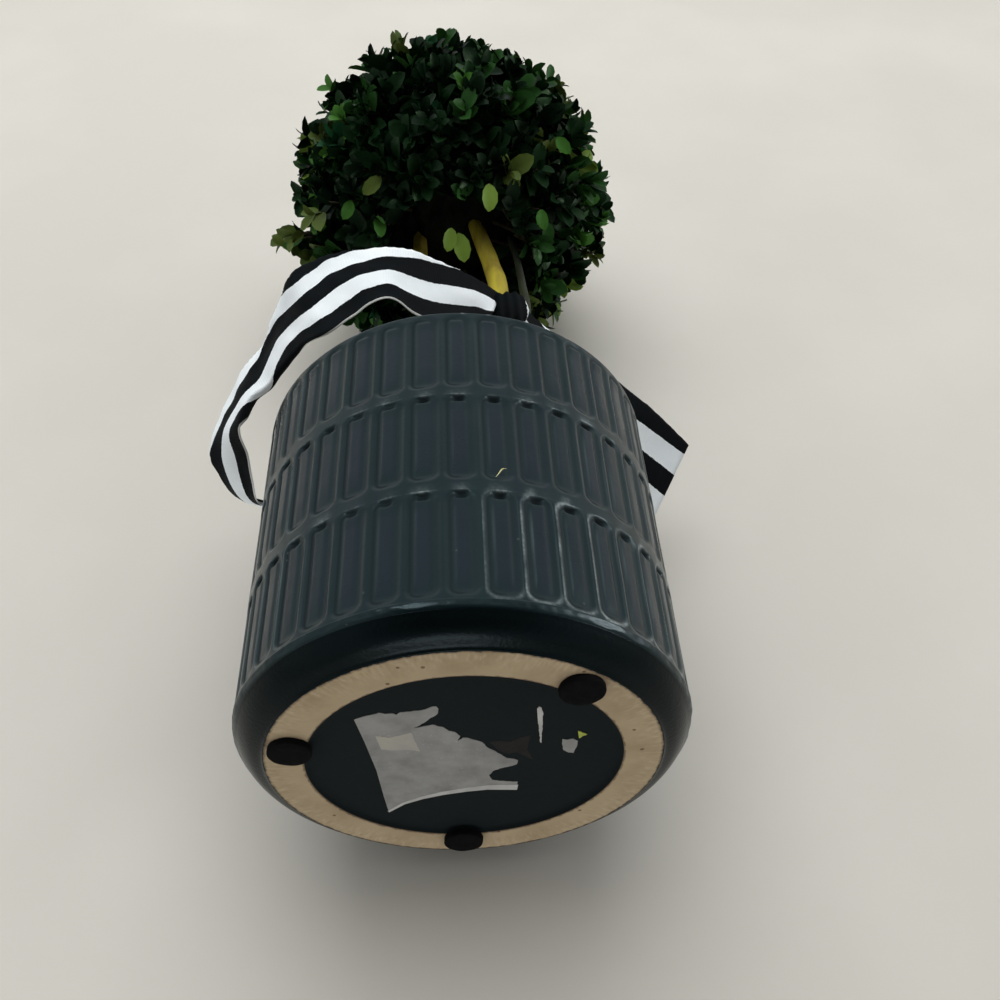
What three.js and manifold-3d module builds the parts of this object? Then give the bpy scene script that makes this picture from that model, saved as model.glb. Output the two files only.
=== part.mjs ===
// A preserved box topiary: a clipped ball of small leaves on three bare stems, in a straight
// cylindrical pot with three rows of pressed flutes, a striped ribbon tied round the stems.
// Millimetres, +Z up. The pot's axis is x = y = 0 and its three foot pads stand on z = 0.
// -Y is the side that carries the ribbon's knot.
import * as THREE from "three";
import { mergeVertices } from "three/addons/utils/BufferGeometryUtils.js";
import Module from "manifold-3d";

const wasm = await Module();
wasm.setup();

const clearance = 0.3; // between pieces that touch on the real thing

const pads = {
  radius: 6,
  thickness: 2,
  sides: 20,
  // bearing of each pad round the foot ring, and its distance from the axis
  places: {
    pad_left: { bearing: -165, out: 48 },
    pad_right: { bearing: -51, out: 48 },
    pad_back: { bearing: 92, out: 46 },
  },
};

const pot = {
  radius: 64,
  rimZ: 120.9,
  rimRounding: 1.3,
  inside: 58.5, // radius of the hollow
  floorZ: 9.5,
  footRadius: 54.9, // outer edge of the bare foot ring
  recessRadius: 43.6,
  recessDepth: 1.2,
  shoulderZ: 8.4, // where the rounded shoulder meets the fluted wall
  shoulderInset: 0.7,
  shoulderSteps: 4,
  hollowSides: 48,
};

const flutes = {
  count: 40,
  turn: 1.4, // degrees from +X to the middle of a flute
  share: 0.91, // of the pitch that is pressed in
  floorShare: 0.6, // of a flute's width that lies at its full depth
  depth: 0.8,
  lowerRamp: 2.6, // length of the slope at a flute's lower end
  upperRamp: 1.1,
  rows: [
    { from: 11.4, to: 46.2 },
    { from: 49.6, to: 83.2 },
    { from: 86.2, to: 119.2 },
  ],
};

const filling = {
  topZ: 107,
  shoulder: 3,
  sides: 36,
};

// The stems stand in the filling, lean together where the ribbon ties them and spread into the ball.
const stems = {
  sides: 8,
  rings: 9,
  flare: 1.25, // root flare at the filling, as a share of the stem's radius
  flareHeight: 9,
  stem_right: {
    radius: 4.6,
    tip: 3.2,
    route: [
      [7, -5], [10, -7, 140], [15, -9, 173], [18.4, -10, 195],
      [18, -9, 211], [14.2, -9, 234], [10.5, -8, 254],
    ],
  },
  stem_left: {
    radius: 4.1,
    tip: 3,
    route: [[-6, 4], [-3, 3, 140], [1.2, 2.2, 173], [-5, 0, 200], [-12.8, -3, 231], [-13.4, -3, 254]],
  },
  stem_thin: {
    radius: 2,
    tip: 1.2,
    route: [
      [14, 5], [18, 2, 140], [24, -2.5, 173], [29, -7, 192],
      [28.3, -8, 209], [27, -8, 228], [25, -6, 246],
    ],
  },
};

const ball = {
  centre: new THREE.Vector3(0, 0, 284),
  core: 61, // radius of the dense middle
  coreLumps: 2.5,
  hollow: { at: [2, -4, 227], half: [27, 17, 25] }, // the open underside that the stems run into
  reach: 76, // of the leaf tips
  twigs: 61,
  twigRoot: 56, // a twig starts this far from the centre and ends between the next two
  twigEnds: [62.5, 66.5],
  twigRadius: 1,
  forkEvery: 4, // every so many twigs bear a side shoot
  sideShoot: 0.4, // where along a twig its side shoot starts
  spread: 0.42, // how far a twig leans away from straight outwards
  leafLength: 17,
  leafWidth: 11,
  leafThickness: 0.7,
  smallLeaf: 0.75, // a leaf that would reach too far is tried once more at this share of its size
  leavesAShoot: 3,
  limbClearance: 1.2,
  straySpray: new THREE.Vector3(-0.955, 0.03, -0.3), // one spray that stands out at the lower left
  strayReach: 84.5,
  seed: 41,
};

const ribbon = {
  width: 38,
  thickness: 1,
  band: { centre: [12.2, -4], half: [17.4, 11.6], thickness: 1.4, fromZ: 166, height: 15 },
  knot: { at: [21, -18.5, 180], half: [7.5, 5, 8.5] },
  stationGap: 8.2, // along a tail, between two rows of corners
  columns: 4, // across a tail
  splitGap: 0.004, // share of the left tail's length left open between its two pieces
  leftSplit: 0.5, // the left tail is parted where it bends down beside the pot
  // Each tail from the knot outwards: a point on its upper edge, the direction across it, and the
  // share of its width that lies open. The rest is rolled back or gathered into the knot.
  left: [
    [[18, -21, 187], [-3, -3, -16], 0.43],
    [[9, -31, 184], [-1, 3, -22], 0.58],
    [[-9.6, -46.9, 175.2], [0, 4, -30], 0.8],
    [[-22.4, -50.6, 175.9], [2, -1, -30], 0.8],
    [[-33.6, -51.9, 172.7], [7, 0, -30], 0.81],
    [[-44.5, -53.2, 167.7], [12, 4, -29], 0.84],
    [[-54.9, -49.3, 162.7], [14, 0, -32], 0.93],
    [[-60.4, -38.9, 159.9], [12, -4, -30], 0.86],
    [[-66.7, -26.9, 155.4], [12, -9, -27], 0.8],
    [[-78.4, -13.2, 150.2], [11, -13, -26], 0.82],
    [[-87.4, -0.2, 139.3], [15, -18, -19], 0.8],
    [[-88.6, 5, 131], [17, -12, -13], 0.64],
    [[-86, 12, 126], [16, -12, -13], 0.6],
    [[-81, 19.5, 123.7], [12, -16, -17], 0.7],
    [[-73.5, 27.5, 125.2], [7.5, -13, -12.5], 0.52],
  ],
  right: [
    [[24, -20, 186], [1, -1, -14], 0.37],
    [[33, -12, 182], [-2, 4, -26], 0.7],
    [[47, -2, 174], [-9, 9, -31], 0.88],
    [[62.6, 4.7, 164.1], [-16, 17, -30], 1],
    [[75.9, 10.7, 152.4], [-18, 20, -25], 1],
    [[88, 17.7, 141.1], [-18, 22, -26], 1],
  ],
};

const colours = {
  glaze: 0x2b3133,
  rubber: 0x101112,
  moss: 0x5c5a2c,
  stem: 0xb08a2a,
  thinStem: 0x6f7034,
  leaf: 0x1f3a1c,
  ribbon: 0xe9ebe8,
};

const degrees = THREE.MathUtils.degToRad;

// The same sequence of numbers from 0 to 1 on each run.
function seeded(seed) {
  let state = seed;
  return () => {
    state = (state * 1664525 + 1013904223) % 4294967296;
    return state / 4294967296;
  };
}

// A closed skin over rings of equally many points, with a fan over each end.
function skin(rings) {
  const around = rings[0].length;
  const points = rings.flat();
  const index = [];
  for (let r = 0; r + 1 < rings.length; r++) {
    for (let k = 0; k < around; k++) {
      const a = r * around + k;
      const b = r * around + ((k + 1) % around);
      index.push(a, b, b + around, a, b + around, a + around);
    }
  }
  const last = (rings.length - 1) * around;
  const centres = [rings[0], rings[rings.length - 1]].map((ring) =>
    ring.reduce((sum, p) => sum.add(p), new THREE.Vector3()).divideScalar(around),
  );
  const start = points.length;
  for (let k = 0; k < around; k++) {
    const next = (k + 1) % around;
    index.push(start, next, k);
    index.push(start + 1, last + k, last + next);
  }
  const geometry = new THREE.BufferGeometry().setFromPoints([...points, ...centres]);
  return geometry.setIndex(index);
}

function solidOf(geometry) {
  const bare = geometry.clone();
  bare.deleteAttribute("normal");
  bare.deleteAttribute("uv");
  const merged = mergeVertices(bare, 1e-4);
  return new wasm.Manifold(
    new wasm.Mesh({
      numProp: 3,
      vertProperties: merged.attributes.position.array,
      triVerts: new Uint32Array(merged.index.array),
    }),
  );
}

function geometryOf(solid) {
  const mesh = solid.getMesh();
  const geometry = new THREE.BufferGeometry();
  geometry.setAttribute("position", new THREE.BufferAttribute(mesh.vertProperties, 3));
  geometry.setIndex(new THREE.BufferAttribute(mesh.triVerts, 1));
  return geometry;
}

// Joins a list of solids two by two, so that no step handles more than it must.
function fuse(solids) {
  if (solids.length === 1) return solids[0];
  const middle = solids.length >> 1;
  return fuse(solids.slice(0, middle)).add(fuse(solids.slice(middle)));
}

// The largest body of a solid: loose scraps and sealed hollows are dropped.
function mainBody(solid) {
  return solid.decompose().reduce((best, body) => (body.volume() > best.volume() ? body : best));
}

function piece(name, geometry, colour, roughness) {
  const material = new THREE.MeshStandardMaterial({ color: colour, roughness, metalness: 0 });
  const mesh = new THREE.Mesh(geometry, material);
  mesh.name = name;
  return mesh;
}

const lathe = (profile, sides) =>
  new THREE.LatheGeometry(profile.map(([r, z]) => new THREE.Vector2(r, z)), sides).rotateX(Math.PI / 2);

// Pot

// How far the floor of a flute is pressed in at height z.
function pressedIn(z) {
  for (const { from, to } of flutes.rows) {
    if (z <= from || z >= to) continue;
    return flutes.depth * Math.min(1, (z - from) / flutes.lowerRamp, (to - z) / flutes.upperRamp);
  }
  return 0;
}

// Four points to a flute: the two sides of its pressed floor and the webs' edges beside them.
function potRing(radius, z) {
  const pitch = 360 / flutes.count;
  const half = (pitch * flutes.share) / 2;
  const floor = half * flutes.floorShare;
  const deep = pressedIn(z);
  const ring = [];
  for (let k = 0; k < flutes.count; k++) {
    const middle = flutes.turn + k * pitch;
    for (const [turn, inset] of [[-half, 0], [-floor, deep], [floor, deep], [half, 0]]) {
      const a = degrees(middle + turn);
      ring.push(new THREE.Vector3(Math.cos(a) * (radius - inset), Math.sin(a) * (radius - inset), z));
    }
  }
  return ring;
}

function makePot() {
  const rings = [];
  const bottom = pads.thickness;
  const rise = pot.shoulderZ - bottom;
  const run = pot.radius - pot.shoulderInset - pot.footRadius;
  for (let i = 0; i <= pot.shoulderSteps; i++) {
    const a = ((i / pot.shoulderSteps) * Math.PI) / 2;
    rings.push(potRing(pot.footRadius + run * Math.sin(a), bottom + rise * (1 - Math.cos(a))));
  }
  rings.push(potRing(pot.radius, pot.shoulderZ + pot.shoulderInset));
  for (const { from, to } of flutes.rows) {
    for (const z of [from, from + flutes.lowerRamp, to - flutes.upperRamp, to]) {
      rings.push(potRing(pot.radius, z));
    }
  }
  rings.push(potRing(pot.radius, pot.rimZ - pot.rimRounding));
  rings.push(potRing(pot.radius - pot.rimRounding, pot.rimZ));
  const hollow = lathe(
    [[0, pot.floorZ], [pot.inside, pot.floorZ], [pot.inside, pot.rimZ + 5], [0, pot.rimZ + 5]],
    pot.hollowSides,
  );
  const recessTop = bottom + pot.recessDepth;
  const recess = lathe(
    [[0, bottom - 5], [pot.recessRadius, bottom - 5], [pot.recessRadius, recessTop], [0, recessTop]],
    pot.hollowSides,
  );
  return geometryOf(solidOf(skin(rings)).subtract(solidOf(hollow)).subtract(solidOf(recess)));
}

function makeFilling() {
  const radius = pot.inside - clearance;
  return lathe(
    [
      [0, pot.floorZ + clearance],
      [radius, pot.floorZ + clearance],
      [radius, filling.topZ - filling.shoulder],
      [radius - filling.shoulder, filling.topZ],
      [0, filling.topZ],
    ],
    filling.sides,
  );
}

// A pad's face lies on z = 0 and its top meets the foot ring.
function makePad({ bearing, out }) {
  const height = pads.thickness - clearance;
  const a = degrees(bearing);
  return new THREE.CylinderGeometry(pads.radius, pads.radius, height, pads.sides)
    .rotateX(Math.PI / 2)
    .translate(Math.cos(a) * out, Math.sin(a) * out, height / 2);
}

// Stems

const stemNames = Object.keys(stems).filter((name) => name.startsWith("stem_"));

function routeOf(name) {
  const ground = filling.topZ + clearance;
  const points = stems[name].route.map(([x, y, z = ground]) => new THREE.Vector3(x, y, z));
  return new THREE.CatmullRomCurve3(points);
}

function stemRadius(name, t, height) {
  const { radius, tip } = stems[name];
  const flare = 1 + (stems.flare - 1) * Math.max(0, 1 - height / stems.flareHeight);
  return THREE.MathUtils.lerp(radius, tip, t * t) * flare;
}

// A tapering limb of level rings, so that its foot is a flat cut; grow makes it thicker all round.
function makeStem(name, grow = 0) {
  const route = routeOf(name);
  const rings = [];
  for (let i = 0; i <= stems.rings; i++) {
    const t = i / stems.rings;
    const at = route.getPoint(t);
    const radius = stemRadius(name, t, at.z - filling.topZ) + grow;
    const end = i === stems.rings ? grow : 0;
    const ring = [];
    for (let k = 0; k < stems.sides; k++) {
      const a = (k / stems.sides) * 2 * Math.PI;
      ring.push(new THREE.Vector3(at.x + radius * Math.cos(a), at.y + radius * Math.sin(a), at.z + end));
    }
    rings.push(ring);
  }
  return skin(rings);
}

// Ball

const random = seeded(ball.seed);
const between = (from, to) => from + (to - from) * random();
const randomUnit = () => {
  const z = between(-1, 1);
  const a = between(0, 2 * Math.PI);
  const r = Math.sqrt(1 - z * z);
  return new THREE.Vector3(r * Math.cos(a), r * Math.sin(a), z);
};
const sideways = (direction) => randomUnit().cross(direction).normalize();

function makeCore() {
  const core = mergeVertices(
    new THREE.IcosahedronGeometry(1, 3).deleteAttribute("normal").deleteAttribute("uv"),
    1e-4,
  );
  const at = core.attributes.position;
  for (let i = 0; i < at.count; i++) {
    const p = new THREE.Vector3().fromBufferAttribute(at, i).normalize();
    p.multiplyScalar(ball.core + between(-1, 1) * ball.coreLumps).add(ball.centre);
    at.setXYZ(i, p.x, p.y, p.z);
  }
  const { at: middle, half } = ball.hollow;
  const hollow = new THREE.IcosahedronGeometry(1, 2).scale(...half).translate(...middle);
  return solidOf(core).subtract(solidOf(hollow));
}

// A three-sided twig from one point to another, a little thinner at its tip.
function makeTwig(from, to) {
  const along = to.clone().sub(from).normalize();
  const u = sideways(along);
  const v = along.clone().cross(u);
  const ring = (at, radius) =>
    [0, 1, 2].map((k) => {
      const a = (k / 3) * 2 * Math.PI;
      return at.clone().addScaledVector(u, radius * Math.cos(a)).addScaledVector(v, radius * Math.sin(a));
    });
  return skin([ring(from, ball.twigRadius), ring(to, ball.twigRadius * 0.6)]);
}

// A leaf of eight faces: root, tip, two sides, and a raised and a lowered middle.
function makeLeaf(root, direction, facing, size) {
  const length = ball.leafLength * size;
  const side = direction.clone().cross(facing).normalize();
  const up = side.clone().cross(direction).normalize();
  const point = (along, across, lift) =>
    root.clone()
      .addScaledVector(direction, along * length)
      .addScaledVector(side, across * ball.leafWidth * size)
      .addScaledVector(up, lift);
  const half = ball.leafThickness / 2;
  const tip = point(1, 0, -half);
  const middle = [point(0.5, 0, half), point(0.55, 0.5, 0), point(0.5, 0, -half), point(0.55, -0.5, 0)];
  const geometry = new THREE.BufferGeometry().setFromPoints([root, tip, ...middle]);
  const faces = [];
  for (let k = 0; k < 4; k++) {
    const a = 2 + k;
    const b = 2 + ((k + 1) % 4);
    faces.push(0, b, a, 1, a, b);
  }
  return geometry.setIndex(faces);
}

// True where every corner of a geometry is inside the ball's reach and clear of the stems.
function keeps(geometry, reach, limbs) {
  const at = geometry.attributes.position;
  for (let i = 0; i < at.count; i++) {
    const p = new THREE.Vector3().fromBufferAttribute(at, i);
    if (p.distanceTo(ball.centre) > reach) return false;
    if (limbs.some(([q, room]) => q.distanceTo(p) < room)) return false;
  }
  return true;
}

function makeBall() {
  const limbs = stemNames.flatMap((name) =>
    routeOf(name)
      .getSpacedPoints(40)
      .map((p) => [p, stems[name].radius + ball.limbClearance]),
  );
  const grown = [];
  const add = (geometry, reach) => {
    const kept = keeps(geometry, reach, limbs);
    if (kept) grown.push(solidOf(geometry));
    return kept;
  };
  const shoot = (from, to, reach) => {
    if (!add(makeTwig(from, to), reach)) return;
    const along = to.clone().sub(from);
    const outward = along.clone().normalize();
    let across = sideways(outward);
    for (let k = 0; k < ball.leavesAShoot; k++) {
      const last = k === ball.leavesAShoot - 1;
      const root = from.clone().addScaledVector(along, last ? 0.95 : between(0.7, 0.92));
      const lean = last ? between(0.15, 0.6) : between(0.75, 1.4);
      const direction = outward.clone().addScaledVector(across, lean).normalize();
      const facing = outward.clone().addScaledVector(sideways(outward), 0.5);
      const size = between(0.85, 1.1);
      if (!add(makeLeaf(root, direction, facing, size), reach)) {
        add(makeLeaf(root, direction, facing, size * ball.smallLeaf), reach);
      }
      across = across.clone().negate().addScaledVector(sideways(outward), 0.5).normalize();
    }
  };
  const outFrom = (direction, distance) => ball.centre.clone().addScaledVector(direction, distance);
  const golden = Math.PI * (3 - Math.sqrt(5));
  for (let i = 0; i < ball.twigs; i++) {
    const height = 1 - (2 * (i + 0.5)) / ball.twigs;
    const round = Math.sqrt(1 - height * height);
    const outward = new THREE.Vector3(round * Math.cos(i * golden), round * Math.sin(i * golden), height);
    const lean = outward.clone().addScaledVector(sideways(outward), ball.spread * random()).normalize();
    const from = outFrom(outward, ball.twigRoot);
    const to = outFrom(lean, between(...ball.twigEnds));
    shoot(from, to, ball.reach);
    if (i % ball.forkEvery) continue;
    const fork = from.clone().lerp(to, ball.sideShoot);
    const aside = outward.clone().addScaledVector(sideways(outward), 0.9).normalize();
    shoot(fork, fork.clone().addScaledVector(aside, between(7, 10)), ball.reach);
  }
  const stray = ball.straySpray.clone().normalize();
  const strayTip = ball.strayReach - ball.leafLength * 0.9;
  shoot(outFrom(stray, ball.twigRoot), outFrom(stray, strayTip), ball.strayReach);
  let whole = fuse([makeCore(), ...grown]);
  for (const name of stemNames) whole = whole.subtract(solidOf(makeStem(name, clearance)));
  return geometryOf(mainBody(whole));
}

// Ribbon

const curve = (points) => new THREE.CatmullRomCurve3(points, false, "centripetal");

// A flat strap along a tail's upper edge, from share `from` to share `to` of its length.
function makeStrap(tail, from, to) {
  const upper = curve(tail.map(([at]) => new THREE.Vector3(...at)));
  const lower = curve(
    tail.map(([at, across, share]) =>
      new THREE.Vector3(...across).setLength(ribbon.width * share).add(new THREE.Vector3(...at)),
    ),
  );
  const steps = Math.round((upper.getLength() * (to - from)) / ribbon.stationGap);
  const rings = [];
  for (let i = 0; i <= steps; i++) {
    const t = THREE.MathUtils.lerp(from, to, i / steps);
    const a = upper.getPoint(t);
    const b = lower.getPoint(t);
    const along = upper.getTangent(t).add(lower.getTangent(t)).normalize();
    const normal = along.cross(b.clone().sub(a)).setLength(ribbon.thickness / 2);
    const row = Array.from({ length: ribbon.columns + 1 }, (_, k) => a.clone().lerp(b, k / ribbon.columns));
    const front = row.map((p) => p.clone().add(normal));
    const back = row.map((p) => p.clone().sub(normal));
    rings.push([...back, ...front.reverse()]);
  }
  return skin(rings);
}

function knotLump(grow = 0) {
  const { at, half } = ribbon.knot;
  const [x, y, z] = half.map((h) => h + grow);
  return new THREE.IcosahedronGeometry(1, 2).scale(x, y, z).translate(...at);
}

function makeKnot() {
  const { centre, half, thickness, fromZ, height } = ribbon.band;
  const [x, y] = half;
  const outline = new THREE.Shape().absellipse(0, 0, x + thickness, y + thickness, 0, 2 * Math.PI);
  outline.holes.push(new THREE.Path().absellipse(0, 0, x, y, 0, 2 * Math.PI));
  const extrusion = { depth: height, bevelEnabled: false, curveSegments: 14 };
  const band = new THREE.ExtrudeGeometry(outline, extrusion);
  band.translate(centre[0], centre[1], fromZ);
  let knot = solidOf(band).add(solidOf(knotLump()));
  for (const name of stemNames) knot = knot.subtract(solidOf(makeStem(name, clearance)));
  return geometryOf(mainBody(knot));
}

// The tails stop short of the knot that they come out of.
function makeTail(tail, from, to) {
  return geometryOf(mainBody(solidOf(makeStrap(tail, from, to)).subtract(solidOf(knotLump(clearance)))));
}

const topiary = new THREE.Group();

topiary.add(piece("pot", makePot(), colours.glaze, 0.5));
topiary.add(piece("pot_filling", makeFilling(), colours.moss, 0.95));
for (const [name, place] of Object.entries(pads.places)) {
  topiary.add(piece(name, makePad(place), colours.rubber, 0.9));
}
for (const name of stemNames) {
  const colour = name === "stem_thin" ? colours.thinStem : colours.stem;
  topiary.add(piece(name, makeStem(name), colour, 0.8));
}
topiary.add(piece("leaf_ball", makeBall(), colours.leaf, 0.6));

const tails = {
  ribbon_left_arch: [ribbon.left, 0, ribbon.leftSplit - ribbon.splitGap],
  ribbon_left_fall: [ribbon.left, ribbon.leftSplit, 1],
  ribbon_right_tail: [ribbon.right, 0, 1],
};
topiary.add(piece("ribbon_knot", makeKnot(), colours.ribbon, 0.8));
for (const [name, strap] of Object.entries(tails)) {
  topiary.add(piece(name, makeTail(...strap), colours.ribbon, 0.8));
}

export default topiary;
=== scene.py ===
# A preserved box topiary in a fluted pot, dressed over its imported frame.
# Shapes below are in millimetres and become metres as each mesh is made; +Z is up.
import math
import random

import bpy
import numpy as np
from mathutils import Matrix, Vector
from mathutils.geometry import tessellate_polygon


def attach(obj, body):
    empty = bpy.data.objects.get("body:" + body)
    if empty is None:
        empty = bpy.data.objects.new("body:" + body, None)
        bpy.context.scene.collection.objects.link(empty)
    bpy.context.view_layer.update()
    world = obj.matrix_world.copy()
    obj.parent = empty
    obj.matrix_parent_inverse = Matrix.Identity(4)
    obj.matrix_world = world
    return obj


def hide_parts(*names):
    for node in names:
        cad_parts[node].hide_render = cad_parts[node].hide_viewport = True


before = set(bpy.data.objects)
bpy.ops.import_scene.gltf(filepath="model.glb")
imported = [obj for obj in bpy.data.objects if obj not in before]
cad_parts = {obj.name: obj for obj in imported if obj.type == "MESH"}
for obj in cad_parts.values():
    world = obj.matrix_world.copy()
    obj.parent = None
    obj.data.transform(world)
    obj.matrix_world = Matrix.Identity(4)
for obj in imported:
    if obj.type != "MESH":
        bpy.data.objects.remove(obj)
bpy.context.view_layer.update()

mm = 0.001


# Curves, noise and meshes

def smoothStep(x):
    x = np.clip(x, 0, 1)
    return x * x * (3 - 2 * x)


# a bump of height 1 round 0 that has fallen to 1/e at its width; a higher power makes it flatter on top
def bell(x, width, power=2):
    return np.exp(-((x / width) ** power))


def unit(v):
    return v / np.linalg.norm(v, axis=-1, keepdims=True)


def fullTurn(steps):
    return np.linspace(0, 2 * math.pi, steps, endpoint=False)


def roundAxis(radius, turn, z):
    return np.stack(np.broadcast_arrays(radius * np.cos(turn), radius * np.sin(turn), z), -1)


# smooth unrepeating bumps between about -1 and 1, roughly `size` mm apart
def wobble(points, size, seed, waves=8):
    dice = np.random.default_rng(seed)
    total = np.zeros(points.shape[:-1])
    for _ in range(waves):
        way = dice.normal(size=3)
        way *= 2 * math.pi / size * dice.uniform(0.6, 1.5) / np.linalg.norm(way)
        total += np.sin(points @ way + dice.uniform(0, 6.28))
    return total / math.sqrt(waves)


# a centripetal curve through points; share runs from 0 at the first to 1 at the last
def threadThrough(points, shares):
    p = np.asarray(points, float)
    p = np.vstack([2 * p[0] - p[1], p, 2 * p[-1] - p[-2]])
    place = np.clip(np.asarray(shares), 0, 1) * (len(p) - 3)
    leg = np.minimum(place.astype(int), len(p) - 4)
    w = (place - leg)[:, None]
    a, b, c, d = p[leg], p[leg + 1], p[leg + 2], p[leg + 3]
    gap = lambda q, r: np.sqrt(np.linalg.norm(r - q, axis=1))[:, None]
    t0, t1, t2 = gap(a, b), gap(b, c), gap(c, d)
    m1 = ((b - a) / t0 - (c - a) / (t0 + t1) + (c - b) / t1) * t1
    m2 = ((c - b) / t1 - (d - b) / (t1 + t2) + (d - c) / t2) * t1
    return b + m1 * w + (3 * (c - b) - 2 * m1 - m2) * w**2 + (2 * (b - c) + m1 + m2) * w**3


# quads between rows of equally many points; a wrapped row closes on itself
def gridFaces(rows, columns, wrap=True):
    r, c = np.meshgrid(np.arange(rows - 1), np.arange(columns if wrap else columns - 1), indexing="ij")
    n = (c + 1) % columns
    quads = [r * columns + c, r * columns + n, (r + 1) * columns + n, (r + 1) * columns + c]
    return np.stack(quads, -1).reshape(-1, 4)


# triangles from one point to a closed row of points
def fanFaces(hub, first, columns, flip=False):
    k = np.arange(columns)
    ring = [first + k, first + (k + 1) % columns]
    return np.stack([np.full(columns, hub)] + (ring[::-1] if flip else ring), -1)


def makeMesh(name, points, faceSets, values=None):
    mesh = bpy.data.meshes.new(name)
    mesh.vertices.add(len(points))
    mesh.vertices.foreach_set("co", (np.asarray(points, float) * mm).astype(np.float32).ravel())
    corners = np.concatenate([faces.ravel() for faces in faceSets]).astype(np.int32)
    sizes = np.concatenate([np.full(len(faces), faces.shape[1]) for faces in faceSets])
    mesh.loops.add(len(corners))
    mesh.loops.foreach_set("vertex_index", corners)
    mesh.polygons.add(len(sizes))
    mesh.polygons.foreach_set("loop_start", np.concatenate([[0], np.cumsum(sizes)[:-1]]).astype(np.int32))
    mesh.update(calc_edges=True)
    mesh.validate()
    mesh.shade_smooth()
    for title, amounts in (values or {}).items():
        layer = mesh.attributes.new(title, "FLOAT", "POINT")
        layer.data.foreach_set("value", np.asarray(amounts, np.float32))
    return mesh


# rings of points closed by a fan at the first ring and one at the last; masks are 0 at the two hubs
def closedMesh(name, rings, hubs, masks=None, inward=False):
    rows, columns = rings.shape[:2]
    count = rows * columns
    sides = gridFaces(rows, columns)
    fans = [fanFaces(count, 0, columns, flip=not inward),
            fanFaces(count + 1, count - columns, columns, flip=inward)]
    values = {title: np.append(np.clip(mask, 0, 1).ravel(), [0, 0]) for title, mask in (masks or {}).items()}
    points = np.vstack([rings.reshape(-1, 3), hubs])
    return makeMesh(name, points, [sides[:, ::-1] if inward else sides, np.vstack(fans)], values)


def addPiece(mesh, material, stands=()):
    piece = bpy.data.objects.new(mesh.name, mesh)
    bpy.context.scene.collection.objects.link(piece)
    mesh.materials.append(material)
    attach(piece, "root")
    if stands:
        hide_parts(*stands)


# several (points, faces) shapes as one list of points and one of faces
def gather(shapes):
    points = np.concatenate([p for p, _ in shapes])
    starts = np.cumsum([0] + [len(p) for p, _ in shapes[:-1]])
    return points, np.concatenate([f + s for (_, f), s in zip(shapes, starts)])


# Shader helpers

def addNode(tree, kind, inputs=None, **settings):
    node = tree.nodes.new(kind)
    for title, value in settings.items():
        setattr(node, title, value)
    for title, value in (inputs or {}).items():
        if isinstance(value, bpy.types.NodeSocket):
            tree.links.new(value, node.inputs[title])
        else:
            node.inputs[title].default_value = value
    return node


def doMath(tree, operation, a, b=0.0):
    return addNode(tree, "ShaderNodeMath", {0: a, 1: b}, operation=operation).outputs[0]


def multiply(tree, a, b):
    return doMath(tree, "MULTIPLY", a, b)


def mapRange(tree, value, low, high, start=0.0, end=1.0):
    inputs = {"Value": value, "From Min": low, "From Max": high, "To Min": start, "To Max": end}
    return addNode(tree, "ShaderNodeMapRange", inputs).outputs["Result"]


def blendColours(tree, mask, first, second):
    return addNode(tree, "ShaderNodeMix", {0: mask, 6: first, 7: second}, data_type="RGBA").outputs[2]


def blendNumbers(tree, mask, first, second):
    return addNode(tree, "ShaderNodeMix", {0: mask, 2: first, 3: second}, data_type="FLOAT").outputs[0]


# layers of (mask, amount, colour), each laid over the one before
def paintOver(tree, tone, *layers):
    for mask, amount, tint in layers:
        tone = blendColours(tree, multiply(tree, mask, amount), tone, tint)
    return tone


def objectPlace(tree):
    return addNode(tree, "ShaderNodeTexCoord").outputs["Object"]


def noiseAt(tree, place, scale, detail=2.0):
    inputs = {"Vector": place, "Scale": scale, "Detail": detail}
    return addNode(tree, "ShaderNodeTexNoise", inputs).outputs["Fac"]


def pointMask(tree, name):
    return addNode(tree, "ShaderNodeAttribute", attribute_name=name).outputs["Fac"]


def newGroup(name, inputs, outputs):
    group = bpy.data.node_groups.new(name, "ShaderNodeTree")
    for title, (kind, value) in inputs.items():
        group.interface.new_socket(title, in_out="INPUT", socket_type=kind).default_value = value
    for title, kind in outputs.items():
        group.interface.new_socket(title, in_out="OUTPUT", socket_type=kind)
    return group, group.nodes.new("NodeGroupInput").outputs, group.nodes.new("NodeGroupOutput").inputs


def useGroup(tree, group, **inputs):
    return addNode(tree, "ShaderNodeGroup", inputs, node_tree=group)


number, colour, vector = "NodeSocketFloat", "NodeSocketColor", "NodeSocketVector"


# cloudy change between two colours, with its mask
def buildMottle():
    group, given, made = newGroup(
        "mottle",
        {"First": (colour, (0, 0, 0, 1)), "Second": (colour, (1, 1, 1, 1)), "Scale": (number, 100.0),
         "Low": (number, 0.4), "High": (number, 0.65)},
        {"Colour": colour, "Mask": number})
    cloud = noiseAt(group, objectPlace(group), given["Scale"], 5.0)
    mask = mapRange(group, cloud, given["Low"], given["High"])
    group.links.new(blendColours(group, mask, given["First"], given["Second"]), made["Colour"])
    group.links.new(mask, made["Mask"])
    return group


# fine bumps all over a surface
def buildRelief():
    group, given, made = newGroup(
        "fineRelief",
        {"Scale": (number, 900.0), "Depth": (number, 0.0002), "Strength": (number, 0.4)},
        {"Normal": vector})
    grain = noiseAt(group, objectPlace(group), given["Scale"], 4.0)
    bump = addNode(group, "ShaderNodeBump", {"Height": grain, "Distance": given["Depth"],
                                             "Strength": given["Strength"]})
    group.links.new(bump.outputs["Normal"], made["Normal"])
    return group


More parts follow.
